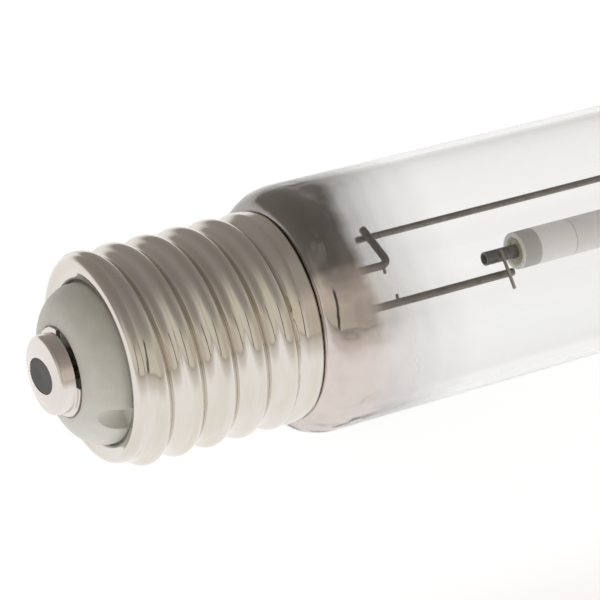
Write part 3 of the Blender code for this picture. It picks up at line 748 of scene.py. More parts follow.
@dataclass(frozen=True)
class SinteredAlumina:
    """Translucent sintered alumina, whiter over its plugs and grey in a band near each end.

    The bands are places along the tube, as distances from its middle, each with its colour.
    A faint glow stands in for the light that scatters inside the wall.
    """

    name: str
    body: Colour = (0.95, 0.95, 0.94)
    through: float = 0.12
    glow: float = 0.14
    bands: tuple[tuple[float, Colour], ...] = ()
    centre: float = 0.0
    blur: float = 0.12 * MM

    def make(self) -> bpy.types.Material:
        """Build the material."""
        material, recipe = new_recipe(self.name)
        place = recipe.place_in_mm()
        grain = recipe.noise(place, 3.5, 4.0, 0.6)
        cloud = recipe.noise(place, 0.3, 2.0, 0.5)
        pale = tuple(c * 0.96 for c in self.body)
        colour = recipe.blend(cloud, [(0.35, pale), (0.65, self.body)])
        axis = recipe.add("ShaderNodeSeparateXYZ")
        recipe.feed(axis.inputs["Vector"], place)
        from_centre = recipe.sum("ABSOLUTE", recipe.sum("SUBTRACT", axis.outputs["X"],
                                                        self.centre / MM))
        for start, band in self.bands:
            edge, blur = start / MM, self.blur / MM
            there = recipe.span(from_centre, (edge - blur, edge + blur), (0.0, 1.0), smooth=True)
            colour = recipe.mix(there, colour, band)
        recipe.surface(Base_Color=colour, IOR=1.5, Transmission_Weight=self.through,
                                Roughness=recipe.span(grain, (0.3, 0.7), (0.42, 0.56)),
                                Normal=recipe.bump(grain, 0.004 * MM), Emission_Color=colour,
                                Emission_Strength=self.glow)
        return material


@dataclass(frozen=True)
class GlassyFrit:
    """Yellow-green sealing glass with a wet-looking skin."""

    name: str = "sealing_frit_glaze"
    pale: Colour = (0.62, 0.64, 0.30)
    deep: Colour = (0.40, 0.42, 0.14)

    def make(self) -> bpy.types.Material:
        """Build the material."""
        material, recipe = new_recipe(self.name)
        body = recipe.place_in_mm()
        cloud = recipe.noise(body, 1.2, 3.0, 0.55)
        colour = recipe.blend(cloud, [(0.35, self.deep), (0.65, self.pale)])
        recipe.surface(Base_Color=colour, IOR=1.6,
                       Roughness=recipe.span(cloud, (0.3, 0.7), (0.15, 0.3)),
                       Normal=recipe.bump(cloud, 0.05 * MM))
        return material


@dataclass(frozen=True)
class GrittyCement:
    """Buff basing cement, cured and porous."""

    name: str = "basing_cement_cured"
    pale: Colour = (0.62, 0.56, 0.46)
    deep: Colour = (0.42, 0.36, 0.28)

    def make(self) -> bpy.types.Material:
        """Build the material."""
        material, recipe = new_recipe(self.name)
        body = recipe.place_in_mm()
        grit = recipe.noise(body, 2.4, 5.0, 0.7)
        colour = recipe.blend(grit, [(0.36, self.deep), (0.62, self.pale)])
        recipe.surface(Base_Color=colour, Roughness=recipe.span(grit, (0.3, 0.7), (0.8, 0.95)),
                       Normal=recipe.bump(grit, 0.15 * MM))
        return material


@dataclass(frozen=True)
class Finishes:
    """Every finish of the lamp, made once."""

    nickel: bpy.types.Material = field(default_factory=lambda: PlatedNickel().make())
    contact_nickel: bpy.types.Material = field(default_factory=lambda: PlatedNickel(
        "nickel_plate_contact", clean=(0.77, 0.72, 0.69), stained=(0.74, 0.685, 0.65),
        smooth=0.10, dull=0.20).make())
    insulator: bpy.types.Material = field(default_factory=lambda: FusedInsulator().make())
    solder: bpy.types.Material = field(default_factory=lambda: DullSolder().make())
    cement: bpy.types.Material = field(default_factory=lambda: GrittyCement().make())
    bulb_glass: bpy.types.Material = field(default_factory=lambda: ClearGlass(
        "bulb_glass_clear").make())
    stem_glass: bpy.types.Material = field(default_factory=lambda: ClearGlass(
        "stem_glass_clear", tint=(0.95, 0.965, 0.955), wave_depth=0.02 * MM).make())
    mirror: bpy.types.Material = field(default_factory=lambda: GetterMirror().make())
    lead: bpy.types.Material = field(default_factory=lambda: DrawnMetal(
        "lead_wire_oxidised", (0.150, 0.140, 0.128), (0.260, 0.245, 0.225)).make())
    rod: bpy.types.Material = field(default_factory=lambda: DrawnMetal(
        "return_rod_oxidised", (0.235, 0.222, 0.202), (0.355, 0.338, 0.306), roughness=0.32).make())
    cross_wire: bpy.types.Material = field(default_factory=lambda: DrawnMetal(
        "cross_wire_bright", (0.40, 0.38, 0.34), (0.56, 0.53, 0.48), roughness=0.3).make())
    spring: bpy.types.Material = field(default_factory=lambda: DrawnMetal(
        "spring_strip", (0.42, 0.41, 0.39), (0.60, 0.58, 0.55), roughness=0.26).make())
    getter: bpy.types.Material = field(default_factory=lambda: DrawnMetal(
        "getter_channel", (0.26, 0.24, 0.22), (0.42, 0.40, 0.37), roughness=0.4).make())
    niobium: bpy.types.Material = field(default_factory=lambda: DrawnMetal(
        "niobium_tube", (0.100, 0.100, 0.098), (0.200, 0.198, 0.190), roughness=0.34).make())
    tungsten: bpy.types.Material = field(default_factory=lambda: DrawnMetal(
        "tungsten_swaged", (0.16, 0.16, 0.165), (0.30, 0.30, 0.31), roughness=0.42).make())
    frit: bpy.types.Material = field(default_factory=lambda: GlassyFrit().make())
    amalgam: bpy.types.Material = field(default_factory=lambda: DrawnMetal(
        "sodium_amalgam_bead", (0.50, 0.50, 0.52), (0.68, 0.68, 0.70), roughness=0.22).make())


# ---------------------------------------------------------------------------------------------
# Sub-assemblies
# ---------------------------------------------------------------------------------------------


class SubAssembly:
    """A group of pieces that are built and dressed together."""

    def __init__(self, finishes: Finishes) -> None:
        """Keep the finishes.

        Args:
            finishes: Every finish of the lamp.
        """
        self.finishes = finishes
        self.made: list[bpy.types.Object] = []

    def enrol(self, obj: bpy.types.Object, finish: bpy.types.Material, slot: Slot,
              *nodes: str) -> bpy.types.Object:
        """Dress a piece, attach it to the lamp's body, and hide the CAD nodes that it stands for.

        Args:
            obj: The piece.
            finish: Its material.
            slot: Not used.
            nodes: CAD nodes that it stands for.

        Returns:
            The piece.
        """
        obj.data.materials.clear()
        obj.data.materials.append(finish)
        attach(obj, BODY)
        if nodes:
            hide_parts(*nodes)
        self.made.append(obj)
        LOG.info("%s: %d faces, %s", obj.name, len(obj.data.polygons), finish.name)
        return obj

    def turned(self, name: str, outline: Outline, steps: int, closed: bool = True,
               sharp_angle: float = 35.0) -> bpy.types.Object:
        """Make a turned piece that isn't dressed yet."""
        return show(name, Blank().turn_outline(outline, steps, closed).to_mesh(name, sharp_angle))

    def wire(self, name: str, path: Sequence[Vector], radius: float,
             sides: int = 24) -> bpy.types.Object:
        """Make a wire that isn't dressed yet."""
        return show(name, Blank().draw_wire(path, radius, sides).to_mesh(name, 50.0))

    @staticmethod
    def dress_node(frame: dict, node: str, finish: bpy.types.Material) -> None:
        """Give a CAD node that stays visible a better material.

        Args:
            frame: The loaded frame.
            node: The node's name.
            finish: Its material.
        """
        for slot in frame["nodes"][node].material_slots:
            slot.material = finish
        LOG.info("%s: CAD node, %s", node, finish.name)


@dataclass(frozen=True)
class CapSizes:
    """Sizes of the end contact, the insulator and the threaded shell."""

    contact_radius: float = 7.15 * MM
    hole_radius: float = 3.1 * MM
    flat_radius: float = 4.6 * MM
    crown: float = 0.35 * MM
    contact_height: float = 3.3 * MM
    edge_round: float = 0.9 * MM
    flange_radius: float = 8.0 * MM
    flange_thickness: float = 0.7 * MM
    gap_from: float = math.radians(88.0)
    gap_to: float = math.radians(178.0)
    gap_inset: float = 0.02 * MM
    gap_ahead: float = 0.4 * MM
    undercut_radius: float = 4.7 * MM
    undercut_ahead: float = 0.1 * MM
    cut_reach: float = 1.0 * MM
    fine_round: float = 0.15 * MM
    foot_round: float = 0.25 * MM
    face_overlap: float = 0.1 * MM
    face_bulge: float = 0.05 * MM
    solder_length: float = 4.48 * MM
    solder_width: float = 3.23 * MM
    solder_bearing: float = math.radians(-12.0)
    solder_lift: float = 0.1 * MM
    solder_front: float = 0.06 * MM
    solder_depth: float = 1.1 * MM
    fit_gap: float = 0.3 * MM
    dome_step: float = 0.4 * MM
    dome_height: float = 5.3 * MM
    dome_bulge: float = 1.45 * MM
    rim_radius: float = 14.4 * MM
    rim_recess: float = 2.1 * MM
    insulator_hole: float = 4.2 * MM
    scoop_radius: float = 2.3 * MM
    scoop_axis: float = 14.15 * MM
    scoop_bearing: float = math.radians(-162.0)
    scoop_floor: float = 0.4 * MM
    scoop_count: int = 2
    pitch: float = 6.35 * MM
    crest_radius: float = 19.65 * MM
    root_radius: float = 17.85 * MM
    first_crest: float = 11.62 * MM
    crest_bearing: float = math.radians(60.0)
    run_in: float = 1.6 * MM
    thread_start: float = 9.6 * MM
    wall: float = 0.5 * MM
    end_radius: float = 18.15 * MM
    roll_width: float = 2.3 * MM
    roll_depth: float = 1.8 * MM
    lip_radius: float = 14.75 * MM
    lip_station: float = 9.95 * MM
    lip_turn: float = math.radians(205.0)
    front_lift: float = 0.6 * MM
    skirt_radius: float = 19.5 * MM
    skirt_length: float = 2.6 * MM
    skirt_ramp: float = 2.8 * MM


class Cap(SubAssembly):
    """The screw cap: end contact, solder, insulator and threaded shell."""

    STEPS = 144
    ROW = 0.25 * MM

    def __init__(self, finishes: Finishes, sizes: CapSizes = CapSizes()) -> None:
        """Keep the sizes, and read the shell's place from the frame.

        Args:
            finishes: Every finish of the lamp.
            sizes: The cap's sizes.
        """
        super().__init__(finishes)
        self.sizes = sizes
        self.shell = Envelope.of("screw_shell")
        self.insulator_end = Envelope.of("insulator").end
        self.roll_centre = self.shell.start + sizes.roll_depth
        self.roll_radius = sizes.end_radius - sizes.roll_width / 2

    def build(self, frame: dict) -> None:
        """Build and dress every piece of the cap.

        Args:
            frame: The loaded frame.
        """
        self.build_contact()
        self.build_solder()
        self.build_insulator()
        self.build_shell()
        self.dress_node(frame, "basing_cement", self.finishes.cement)
        self.dress_node(frame, "side_weld", self.finishes.solder)

    def sector_tool(self, inner: float, outer: float, start: float, end: float) -> Blank:
        """Make the block that cuts the wire's gap.

        Args:
            inner: Its inner radius.
            outer: Its outer radius.
            start: Its first station.
            end: Its last station.

        Returns:
            The closed blank.
        """
        size = self.sizes
        tool = Blank()
        corners = [(start, inner), (end, inner), (end, outer), (start, outer)]
        face = tool.bm.faces.new([tool.bm.verts.new(on_circle(r, size.gap_from, s))
                                  for s, r in corners])
        bmesh.ops.spin(tool.bm, geom=[face], axis=(1.0, 0.0, 0.0), cent=(0.0, 0.0, 0.0),
                       angle=size.gap_to - size.gap_from, steps=16)
        bmesh.ops.remove_doubles(tool.bm, verts=tool.bm.verts[:], dist=0.000001)
        bmesh.ops.recalc_face_normals(tool.bm, faces=tool.bm.faces[:])
        return tool

    def build_contact(self) -> None:
        """Build the end contact: a domed, holed disc with a flange."""
        size = self.sizes
        back = size.contact_height + size.flange_thickness
        edge = size.contact_radius - size.edge_round
        small = size.fine_round
        outline = ellipse_arc((back - small, size.flange_radius - small), small, small,
                              0.0, math.pi / 2, 4)
        outline += ellipse_arc((size.contact_height + small, size.flange_radius - small), small,
                               small, math.pi / 2, math.pi, 4)
        foot = size.foot_round
        outline += ellipse_arc((size.contact_height - foot, size.contact_radius + foot), foot, foot,
                               0.0, -math.pi / 2, 5)
        outline += ellipse_arc((size.crown + size.edge_round, edge), size.edge_round,
                               size.edge_round, math.pi / 2, math.pi * 0.97, 6)
        outline += crowned_line((size.crown, edge - size.face_overlap), (0.0, size.flat_radius),
                                size.face_bulge, 9)
        outline += ellipse_arc((small, size.hole_radius + small), small, small,
                               math.pi, 3 * math.pi / 2, 5)
        outline.append((back, size.hole_radius))
        obj = self.turned("end_contact", outline, 112)
        reach = size.flange_radius + size.cut_reach
        behind = back + size.cut_reach
        well = self.oval_blank([(size.solder_depth, 0.0), (size.solder_depth, size.solder_length),
                                (-size.cut_reach, size.solder_length), (-size.cut_reach, 0.0)])
        gap = self.sector_tool(size.contact_radius + size.gap_inset, reach,
                               size.contact_height - size.gap_ahead, behind)
        undercut = self.sector_tool(size.undercut_radius, reach,
                                    size.contact_height - size.undercut_ahead, behind)
        carve(obj, [well, gap, undercut])
        soften_edges(obj, 0.08 * MM, 3, 50.0)
        obj.data.set_sharp_from_angle(angle=math.radians(30.0))
        self.enrol(obj, self.finishes.contact_nickel, Slot.NICKEL_PLATE, "contact_plate")

    def oval_blank(self, outline: Outline) -> Blank:
        """Turn an outline, and press it into the oval of the contact's solder.

        Args:
            outline: Stations and radii, where the radii lie along the oval's length.

        Returns:
            The closed blank.
        """
        size = self.sizes
        blank = Blank().turn_outline(outline, 72, closed=False)
        turn = Matrix.Rotation(size.solder_bearing, 4, "X")
        press = Matrix.Diagonal((1.0, 1.0, size.solder_width / size.solder_length, 1.0))
        lift = Matrix.Translation((0.0, 0.0, size.solder_lift))
        bmesh.ops.transform(blank.bm, verts=blank.bm.verts[:], matrix=lift @ turn @ press)
        return blank

    def build_solder(self) -> None:
        """Build the solder that fills the contact's hole, a little below its rim."""
        size = self.sizes
        wide = size.solder_length - 0.03 * MM
        narrow = size.hole_radius * 0.97
        back = size.contact_height + size.flange_thickness - 0.4 * MM
        floor = size.solder_depth - 0.03 * MM
        edge = ellipse_arc((size.solder_front + 0.2 * MM, wide - 0.25 * MM), 0.2 * MM, 0.25 * MM,
                           math.pi / 2, math.pi, 5)
        face = crowned_line(edge[-1], (size.solder_front + 0.16 * MM, 0.0), -0.04 * MM, 12)[1:]
        face[-1] = (face[-1][0], 0.0)
        blank = self.oval_blank([(back, 0.0), (back, narrow), (floor, narrow), (floor, wide),
                                 *edge, *face])
        obj = show("contact_solder_plug", blank.to_mesh("contact_solder_plug"))
        self.enrol(obj, self.finishes.solder, Slot.SOLDER, "contact_solder")

    def build_insulator(self) -> None:
        """Build the domed insulator with the contact's seat, the wire's slot and the scoops."""
        size = self.sizes
        flange_back = size.contact_height + size.flange_thickness
        seat = flange_back + 0.05 * MM
        seat_radius = size.flange_radius + size.fit_gap
        dome_start = size.contact_height + size.dome_step
        dome_end = dome_start + size.dome_height
        body_radius = self.roll_radius - size.roll_width / 2 - size.fit_gap
        dome = crowned_line((dome_end, size.rim_radius), (dome_start, seat_radius),
                            -size.dome_bulge, 26)
        groove = dome_end + size.rim_recess
        outline = [(self.insulator_end, body_radius), (groove, body_radius),
                   (groove, size.rim_radius), *dome, (seat, seat_radius),
                   (seat, size.insulator_hole), (self.insulator_end, size.insulator_hole)]
        obj = self.turned("insulator_dome", outline, 120)
        tools = [self.sector_tool(size.insulator_hole - 1.0 * MM, seat_radius - 0.1 * MM,
                                  seat - 0.5 * MM, dome_end)]
        for index in range(size.scoop_count):
            bearing = size.scoop_bearing + index * math.tau / size.scoop_count
            tools.append(self.scoop_tool(bearing, groove - size.scoop_floor))
        carve(obj, tools)
        soften_edges(obj, 0.12 * MM, 3, 24.0)
        obj.data.set_sharp_from_angle(angle=math.radians(40.0))
        self.enrol(obj, self.finishes.insulator, Slot.INSULATOR, "insulator")

    def scoop_tool(self, bearing: float, end: float) -> Blank:
        """Make the round tool of one scoop in the insulator's rim.

        Args:
            bearing: Where the scoop is.
            end: Station where it stops.

        Returns:
            The closed blank.
        """
        size = self.sizes
        ball = 0.8 * MM
        outline = [(0.0, 0.0), (0.0, size.scoop_radius), (end - ball, size.scoop_radius)]
        outline += ellipse_arc((end - ball, size.scoop_radius - ball), ball, ball,
                               math.pi / 2, 0.0, 6)[1:]
        tool = Blank().turn_outline(outline + [(end, 0.0)], 56, closed=False)
        bmesh.ops.translate(tool.bm, verts=tool.bm.verts[:],
                            vec=on_circle(size.scoop_axis, bearing))
        return tool

    def thread_height(self, along: float) -> float:
        """Find the height of the rounded thread over its root.

        Args:
            along: Distance from a crest, along the axis.

        Returns:
            The height.
        """
        size = self.sizes
        height = size.crest_radius - size.root_radius
        quarter = size.pitch / 4
        radius = (quarter ** 2 + (height / 2) ** 2) / height
        if along <= quarter:
            return height - radius + math.sqrt(radius ** 2 - along ** 2)
        return radius - math.sqrt(radius ** 2 - (size.pitch / 2 - along) ** 2)

    @staticmethod
    def front_share(bearing: float) -> float:
        """Find how much of the first turn stands beside the rolled end, at a bearing."""
        turn = math.degrees(bearing) % 360.0
        return smooth_step(turn, 0.0, 60.0) * (1.0 - smooth_step(turn, 150.0, 215.0))

    def front_radius(self, station: float, bearing: float) -> float:
        """Find the radius of the slope that joins the rolled end to the first crest.

        Args:
            station: Where along the axis.
            bearing: Where about the axis.

        Returns:
            The radius, or 0 where there is no such slope.
        """
        size = self.sizes
        share = self.front_share(bearing)
        foot = size.end_radius + size.front_lift * share
        turned_by = bearing % math.tau - size.crest_bearing
        crest = size.first_crest + size.pitch * turned_by / math.tau
        if station > crest or share == 0.0:
            return 0.0
        reach = max(crest - self.roll_centre, size.run_in / 2)
        left = max(0.0, 1.0 - (station - self.roll_centre) / reach)
        return foot + (size.crest_radius - foot) * (1.0 - left * left) * share

    def shell_radius(self, station: float, bearing: float) -> float:
        """Find the radius of the shell's outside, past its rolled end.

        Args:
            station: Where along the axis.
            bearing: Where about the axis.

        Returns:
            The radius.
        """
        size = self.sizes
        turned_by = (bearing - size.crest_bearing) / math.tau
        turns = (station - size.first_crest) / size.pitch - turned_by
        along = abs(turns - round(turns)) * size.pitch
        run_in = smooth_step(station, size.thread_start, size.thread_start + size.run_in)
        fall = smooth_step(station, self.roll_centre, self.roll_centre + size.run_in)
        base = size.end_radius + (size.root_radius - size.end_radius) * fall
        skirt_start = self.shell.end - size.skirt_length
        ramp = smooth_step(station, skirt_start - size.skirt_ramp, skirt_start)
        skirt = size.root_radius + (size.skirt_radius - size.root_radius) * ramp
        thread = size.root_radius + self.thread_height(along) * run_in * (1.0 - ramp * ramp)
        return max(base, thread, skirt, self.front_radius(station, bearing))

    def build_shell(self) -> None:
        """Build the threaded shell: one thin wall with a rolled end and a plain skirt."""
        size = self.sizes
        rows = round((self.shell.end - self.roll_centre) / self.ROW)
        straight = [self.shell.end - (self.shell.end - self.roll_centre) * i / rows
                    for i in range(rows)]
        roll = ellipse_arc((self.roll_centre, self.roll_radius), size.roll_depth,
                           size.roll_width / 2, math.pi / 2, size.lip_turn, 24)
        lip = [(roll[-1][0] + (size.lip_station - roll[-1][0]) * share,
                roll[-1][1] + (size.lip_radius - roll[-1][1]) * share)
               for share in (0.33, 0.66, 1.0)]
        outline = [(station, size.root_radius) for station in straight] + roll + lip
        blank = Blank().turn_outline(outline, self.STEPS, closed=False)
        for vertex in blank.bm.verts:
            station, y, z = vertex.co
            radius, bearing = math.hypot(y, z), math.atan2(z, y)
            if radius > self.roll_radius and station >= self.roll_centre:
                vertex.co = on_circle(self.shell_radius(station, bearing), bearing, station)
            elif radius > self.roll_radius:
                lift = self.shell_radius(self.roll_centre, bearing) - size.end_radius
                out = (radius - self.roll_radius) / (size.end_radius - self.roll_radius)
                raised = radius + lift * self.front_share(bearing) * out
                vertex.co = on_circle(raised, bearing, station)
        obj = show("threaded_shell", blank.to_mesh("threaded_shell", 60.0))
        solid = obj.modifiers.new("Wall", "SOLIDIFY")
        solid.thickness = size.wall
        solid.offset = -1.0
        self.enrol(obj, self.finishes.nickel, Slot.NICKEL_PLATE, "screw_shell")


@dataclass(frozen=True)
class BulbSizes:
    """Sizes of the outer bulb, its getter film and the stem."""

    wall: float = 1.2 * MM
    dome_depth: float = 20.0 * MM
    neck_radius: float = 15.6 * MM
    shoulder_length: float = 6.6 * MM
    shoulder_clearance: float = 0.1 * MM
    shoulder_radius: float = 18.7 * MM
    film_depth: float = 0.15 * MM
    film_end: float = 76.0 * MM
    film_start: float = 36.0 * MM
    stem_wall: float = 1.0 * MM
    flare_length: float = 8.0 * MM
    flare_radius: float = 14.1 * MM
    stem_tube_radius: float = 6.3 * MM
    press_size: tuple[float, float, float] = (11.0 * MM, 13.0 * MM, 4.6 * MM)
    press_round: float = 1.4 * MM
    lead_bearing: float = math.radians(47.0)
    exhaust_wall: float = 0.8 * MM
    film_edge: tuple[tuple[float, float], ...] = (
        (60.0, 57.5), (81.0, 57.7), (90.0, 59.0), (110.0, 56.5), (125.0, 55.5), (142.0, 55.3),
        (158.0, 56.2), (178.0, 57.4), (197.0, 58.6), (213.0, 59.2), (250.0, 58.6), (330.0, 56.8),
        (420.0, 57.5))
    film_softness: tuple[tuple[float, float], ...] = (
        (60.0, 4.6), (110.0, 4.6), (124.0, 4.2), (136.0, 3.4), (160.0, 3.4), (172.0, 4.6),
        (186.0, 6.0), (200.0, 7.0), (230.0, 7.0), (300.0, 5.0), (420.0, 4.6))
    haze_ramp: tuple[tuple[float, float], ...] = (
        (-1.0, 0.58), (1.0, 0.50), (3.0, 0.39), (6.5, 0.24), (11.0, 0.11), (18.0, 0.0))
    # Painted shade of the getter film by bearing in degrees: 1 darkens it fully, as a painted
    # reflection of the dim room.
    painted_shade_ramp: tuple[tuple[float, float], ...] = (
        (60.0, 0.90), (100.0, 0.90), (118.0, 1.0), (134.0, 1.0), (141.0, 0.25), (150.0, 0.20),
        (158.0, 0.42), (164.0, 0.42), (171.0, 0.08), (200.0, 0.0), (260.0, 0.25), (340.0, 0.6),
        (420.0, 0.90))


def along_ramp(ramp: Sequence[tuple[float, float]], place: float) -> float:
    """Read a value off a ramp of places and values, easing between them.

    Args:
        ramp: Places in rising order, each with its value.
        place: Where the ramp is read.

    Returns:
        The value, which stays level beyond the two ends.
    """
    for low, high in zip(ramp, ramp[1:]):
        if place <= high[0]:
            return low[1] + (high[1] - low[1]) * smooth_step(place, low[0], high[0])
    return ramp[-1][1]


class Bulb(SubAssembly):
    """The outer bulb with the film inside it, and the glass stem."""

    STEPS = 224

    def __init__(self, finishes: Finishes, sizes: BulbSizes = BulbSizes()) -> None:
        """Keep the sizes, and read the bulb's and stem's places from the frame.

        Args:
            finishes: Every finish of the lamp.
            sizes: The bulb's sizes.
        """
        super().__init__(finishes)
        self.sizes = sizes
        self.bulb = Envelope.of("outer_bulb")
        self.flare = Envelope.of("stem_flare")
        self.press = Envelope.of("stem_press")
        self.exhaust = Envelope.of("exhaust_tube")
        self.shoulder_start = Envelope.of("screw_shell").end + sizes.shoulder_clearance

    def build(self) -> None:
        """Build and dress every piece of glass, and the film."""
        self.build_bulb()
        self.build_film()
        self.build_stem()

    def shoulder(self, inset: float, count: int) -> Outline:
        """Lay the points of the shoulder, moved inwards by a distance."""
        size = self.sizes
        centre = (self.shoulder_start + size.shoulder_length, size.shoulder_radius)
        return ellipse_arc(centre, size.shoulder_length - inset,
                           self.bulb.radius - size.shoulder_radius - inset,
                           math.pi / 2, math.pi, count)

    def build_bulb(self) -> None:
        """Build the outer bulb: neck, shoulder, long cylinder and domed end."""
        size = self.sizes
        centre = (self.bulb.end - size.dome_depth, 0.0)
        dome = ellipse_arc(centre, size.dome_depth, self.bulb.radius, 0.0, math.pi / 2, 40)
        dome[0] = (self.bulb.end, 0.0)
        shoulder = self.shoulder(0.0, 22)
        fillet_size = size.shoulder_radius - size.neck_radius
        fillet = ellipse_arc((self.shoulder_start - fillet_size, size.shoulder_radius), fillet_size,
                             fillet_size, 0.0, -math.pi / 2, 12)[1:]
        shoulder_end = shoulder[0][0]
        rows = [(centre[0] + (shoulder_end - centre[0]) * i / 12, self.bulb.radius)
                for i in range(1, 12)]
        outline = dome + rows + shoulder + fillet + [(self.bulb.start, size.neck_radius)]
        obj = self.turned("bulb_glass_envelope", outline, self.STEPS, closed=False,
                          sharp_angle=60.0)
        solid = obj.modifiers.new("Wall", "SOLIDIFY")
        solid.thickness = size.wall
        solid.offset = -1.0
        solid.use_even_offset = True
        self.enrol(obj, self.finishes.bulb_glass, Slot.GLASS, "outer_bulb")

    def film_at(self, station: float, bearing: float) -> float:
        """Find how thick the getter film is at a place.

        Args:
            station: Where along the axis.
            bearing: Where about the axis, in degrees from 60 to 420.

        Returns:
            Its share of the full film, from 0 to 1.
        """
        beyond = station / MM - along_ramp(self.sizes.film_edge, bearing)
        softness = along_ramp(self.sizes.film_softness, bearing)
        mirror = 1.0 - smooth_step(beyond, -softness, softness)
        return max(mirror, along_ramp(self.sizes.haze_ramp, beyond))

    def build_film(self) -> None:
        """Build the getter film as a thin sheet in the glass's wall, down into the neck."""
        size = self.sizes
        inset = size.film_depth
        radius = self.bulb.radius - inset
        shoulder = self.shoulder(inset, 31)
        start = shoulder[0][0]
        rows = 72
        straight = [(size.film_end + (start - size.film_end) * i / rows, radius)
                    for i in range(rows)]
        fillet_size = size.shoulder_radius - size.neck_radius
        fillet_centre = (self.shoulder_start - fillet_size, size.shoulder_radius)
        fillet = ellipse_arc(fillet_centre, fillet_size + inset, fillet_size + inset,
                             0.0, -math.pi / 2, 14)[1:]
        outline = straight + shoulder + fillet + [(size.film_start, size.neck_radius - inset)]
        blank = Blank().turn_outline(outline, self.STEPS, closed=False)
        mesh = blank.to_mesh("getter_mirror", 60.0)
        film = mesh.attributes.new("film", "FLOAT", "POINT")
        # A second point attribute holds the painted shade, by bearing.
        painted_shade = mesh.attributes.new("painted_shade", "FLOAT", "POINT")
        for vertex, thickness, painted_dark in zip(mesh.vertices, film.data, painted_shade.data):
            bearing = (math.degrees(math.atan2(vertex.co.z, vertex.co.y)) - 60.0) % 360.0 + 60.0
            thickness.value = self.film_at(vertex.co.x, bearing)
            painted_dark.value = along_ramp(size.painted_shade_ramp, bearing)
        obj = show("getter_mirror", mesh)
        self.enrol(obj, self.finishes.mirror, Slot.GETTER)

    def build_stem(self) -> None:
        """Build the flare, the press and the exhaust tube."""
        size = self.sizes
        glass = self.finishes.stem_glass
        tube_start = self.flare.start + size.flare_length
        rise = size.flare_radius - size.stem_tube_radius
        flare = ellipse_arc((tube_start, size.flare_radius), size.flare_length, rise,
                            -math.pi / 2, -math.pi, 20)
        obj = self.turned("stem_flare_glass", [(self.flare.end, size.stem_tube_radius)] + flare,
                          96, closed=False)
        solid = obj.modifiers.new("Wall", "SOLIDIFY")
        solid.thickness = size.stem_wall
        solid.offset = -1.0
        self.enrol(obj, glass, Slot.GLASS, "stem_flare")

        blank = Blank()
        bmesh.ops.create_cube(blank.bm, size=1.0, matrix=Matrix.Diagonal((*size.press_size, 1.0)))
        bmesh.ops.bevel(blank.bm, geom=blank.bm.edges[:], offset=size.press_round,
                        offset_type="OFFSET", segments=5, profile=0.5, affect="EDGES",
                        clamp_overlap=True, material=-1)
        middle = Matrix.Translation(((self.press.start + self.press.end) / 2, 0.0, 0.0))
        bmesh.ops.transform(blank.bm, verts=blank.bm.verts[:],
                            matrix=middle @ Matrix.Rotation(size.lead_bearing, 4, "X"))
        self.enrol(show("stem_press_glass", blank.to_mesh("stem_press_glass")), glass, Slot.GLASS,
                   "stem_press")

        radius = self.exhaust.radius
        tip = ellipse_arc((self.exhaust.start + radius, 0.0), -radius, radius, math.pi / 2, 0.0, 12)
        tip[-1] = (tip[-1][0], 0.0)
        obj = self.turned("exhaust_tube_glass", [(self.exhaust.end, radius)] + tip, 64,
                          closed=False)
        solid = obj.modifiers.new("Wall", "SOLIDIFY")
        solid.thickness = size.exhaust_wall
        solid.offset = -1.0
        self.enrol(obj, glass, Slot.GLASS, "exhaust_tube")


@dataclass(frozen=True)
class FrameSizes:
    """Sizes of the wires that carry the arc tube, and of the getters."""

    lead_radius: float = 0.75 * MM
    lead_circle: float = 3.75 * MM
    lead_bearing: float = math.radians(47.0)
    crossbar_station: float = 72.2 * MM
    crossbar_length: float = 10.1 * MM
    crossbar_bearing: float = math.radians(19.5)
    crossbar_bend: float = 1.9 * MM
    rod_radius: float = 0.65 * MM
    rod_along_crossbar: float = 8.97 * MM
    rod_under_crossbar: float = 1.5 * MM
    rod_bend: float = 2.5 * MM
    cross_wire_radius: float = 0.35 * MM
    near_wire_station: float = 94.6 * MM
    far_wire_station: float = 170.0 * MM
    near_wire_bearing: float = math.radians(-130.5)
    near_wire_reach: float = 7.2 * MM
    niobium_radius: float = 1.3 * MM
    fit_gap: float = 0.3 * MM
    spring_width: float = 4.0 * MM
    spring_thickness: float = 0.25 * MM
    spring_length: float = 14.0 * MM
    getter_station: float = 60.0 * MM
    getter_radius: float = 3.0 * MM
    getter_section: float = 0.7 * MM
    getter_wire_radius: float = 0.3 * MM
    getter_reach: float = 10.5 * MM
    getter_tip: float = 1.6 * MM
    getter_side: float = math.radians(-30.0)

    @property
    def rod(self) -> Vector:
        """Find where the rod runs, just under the crossbar, as a point at station 0."""
        corner = on_circle(self.lead_circle, self.lead_bearing)
        along = on_circle(self.rod_along_crossbar, self.crossbar_bearing)
        return corner + along + on_circle(self.rod_under_crossbar,
                                          self.crossbar_bearing - math.pi / 2)


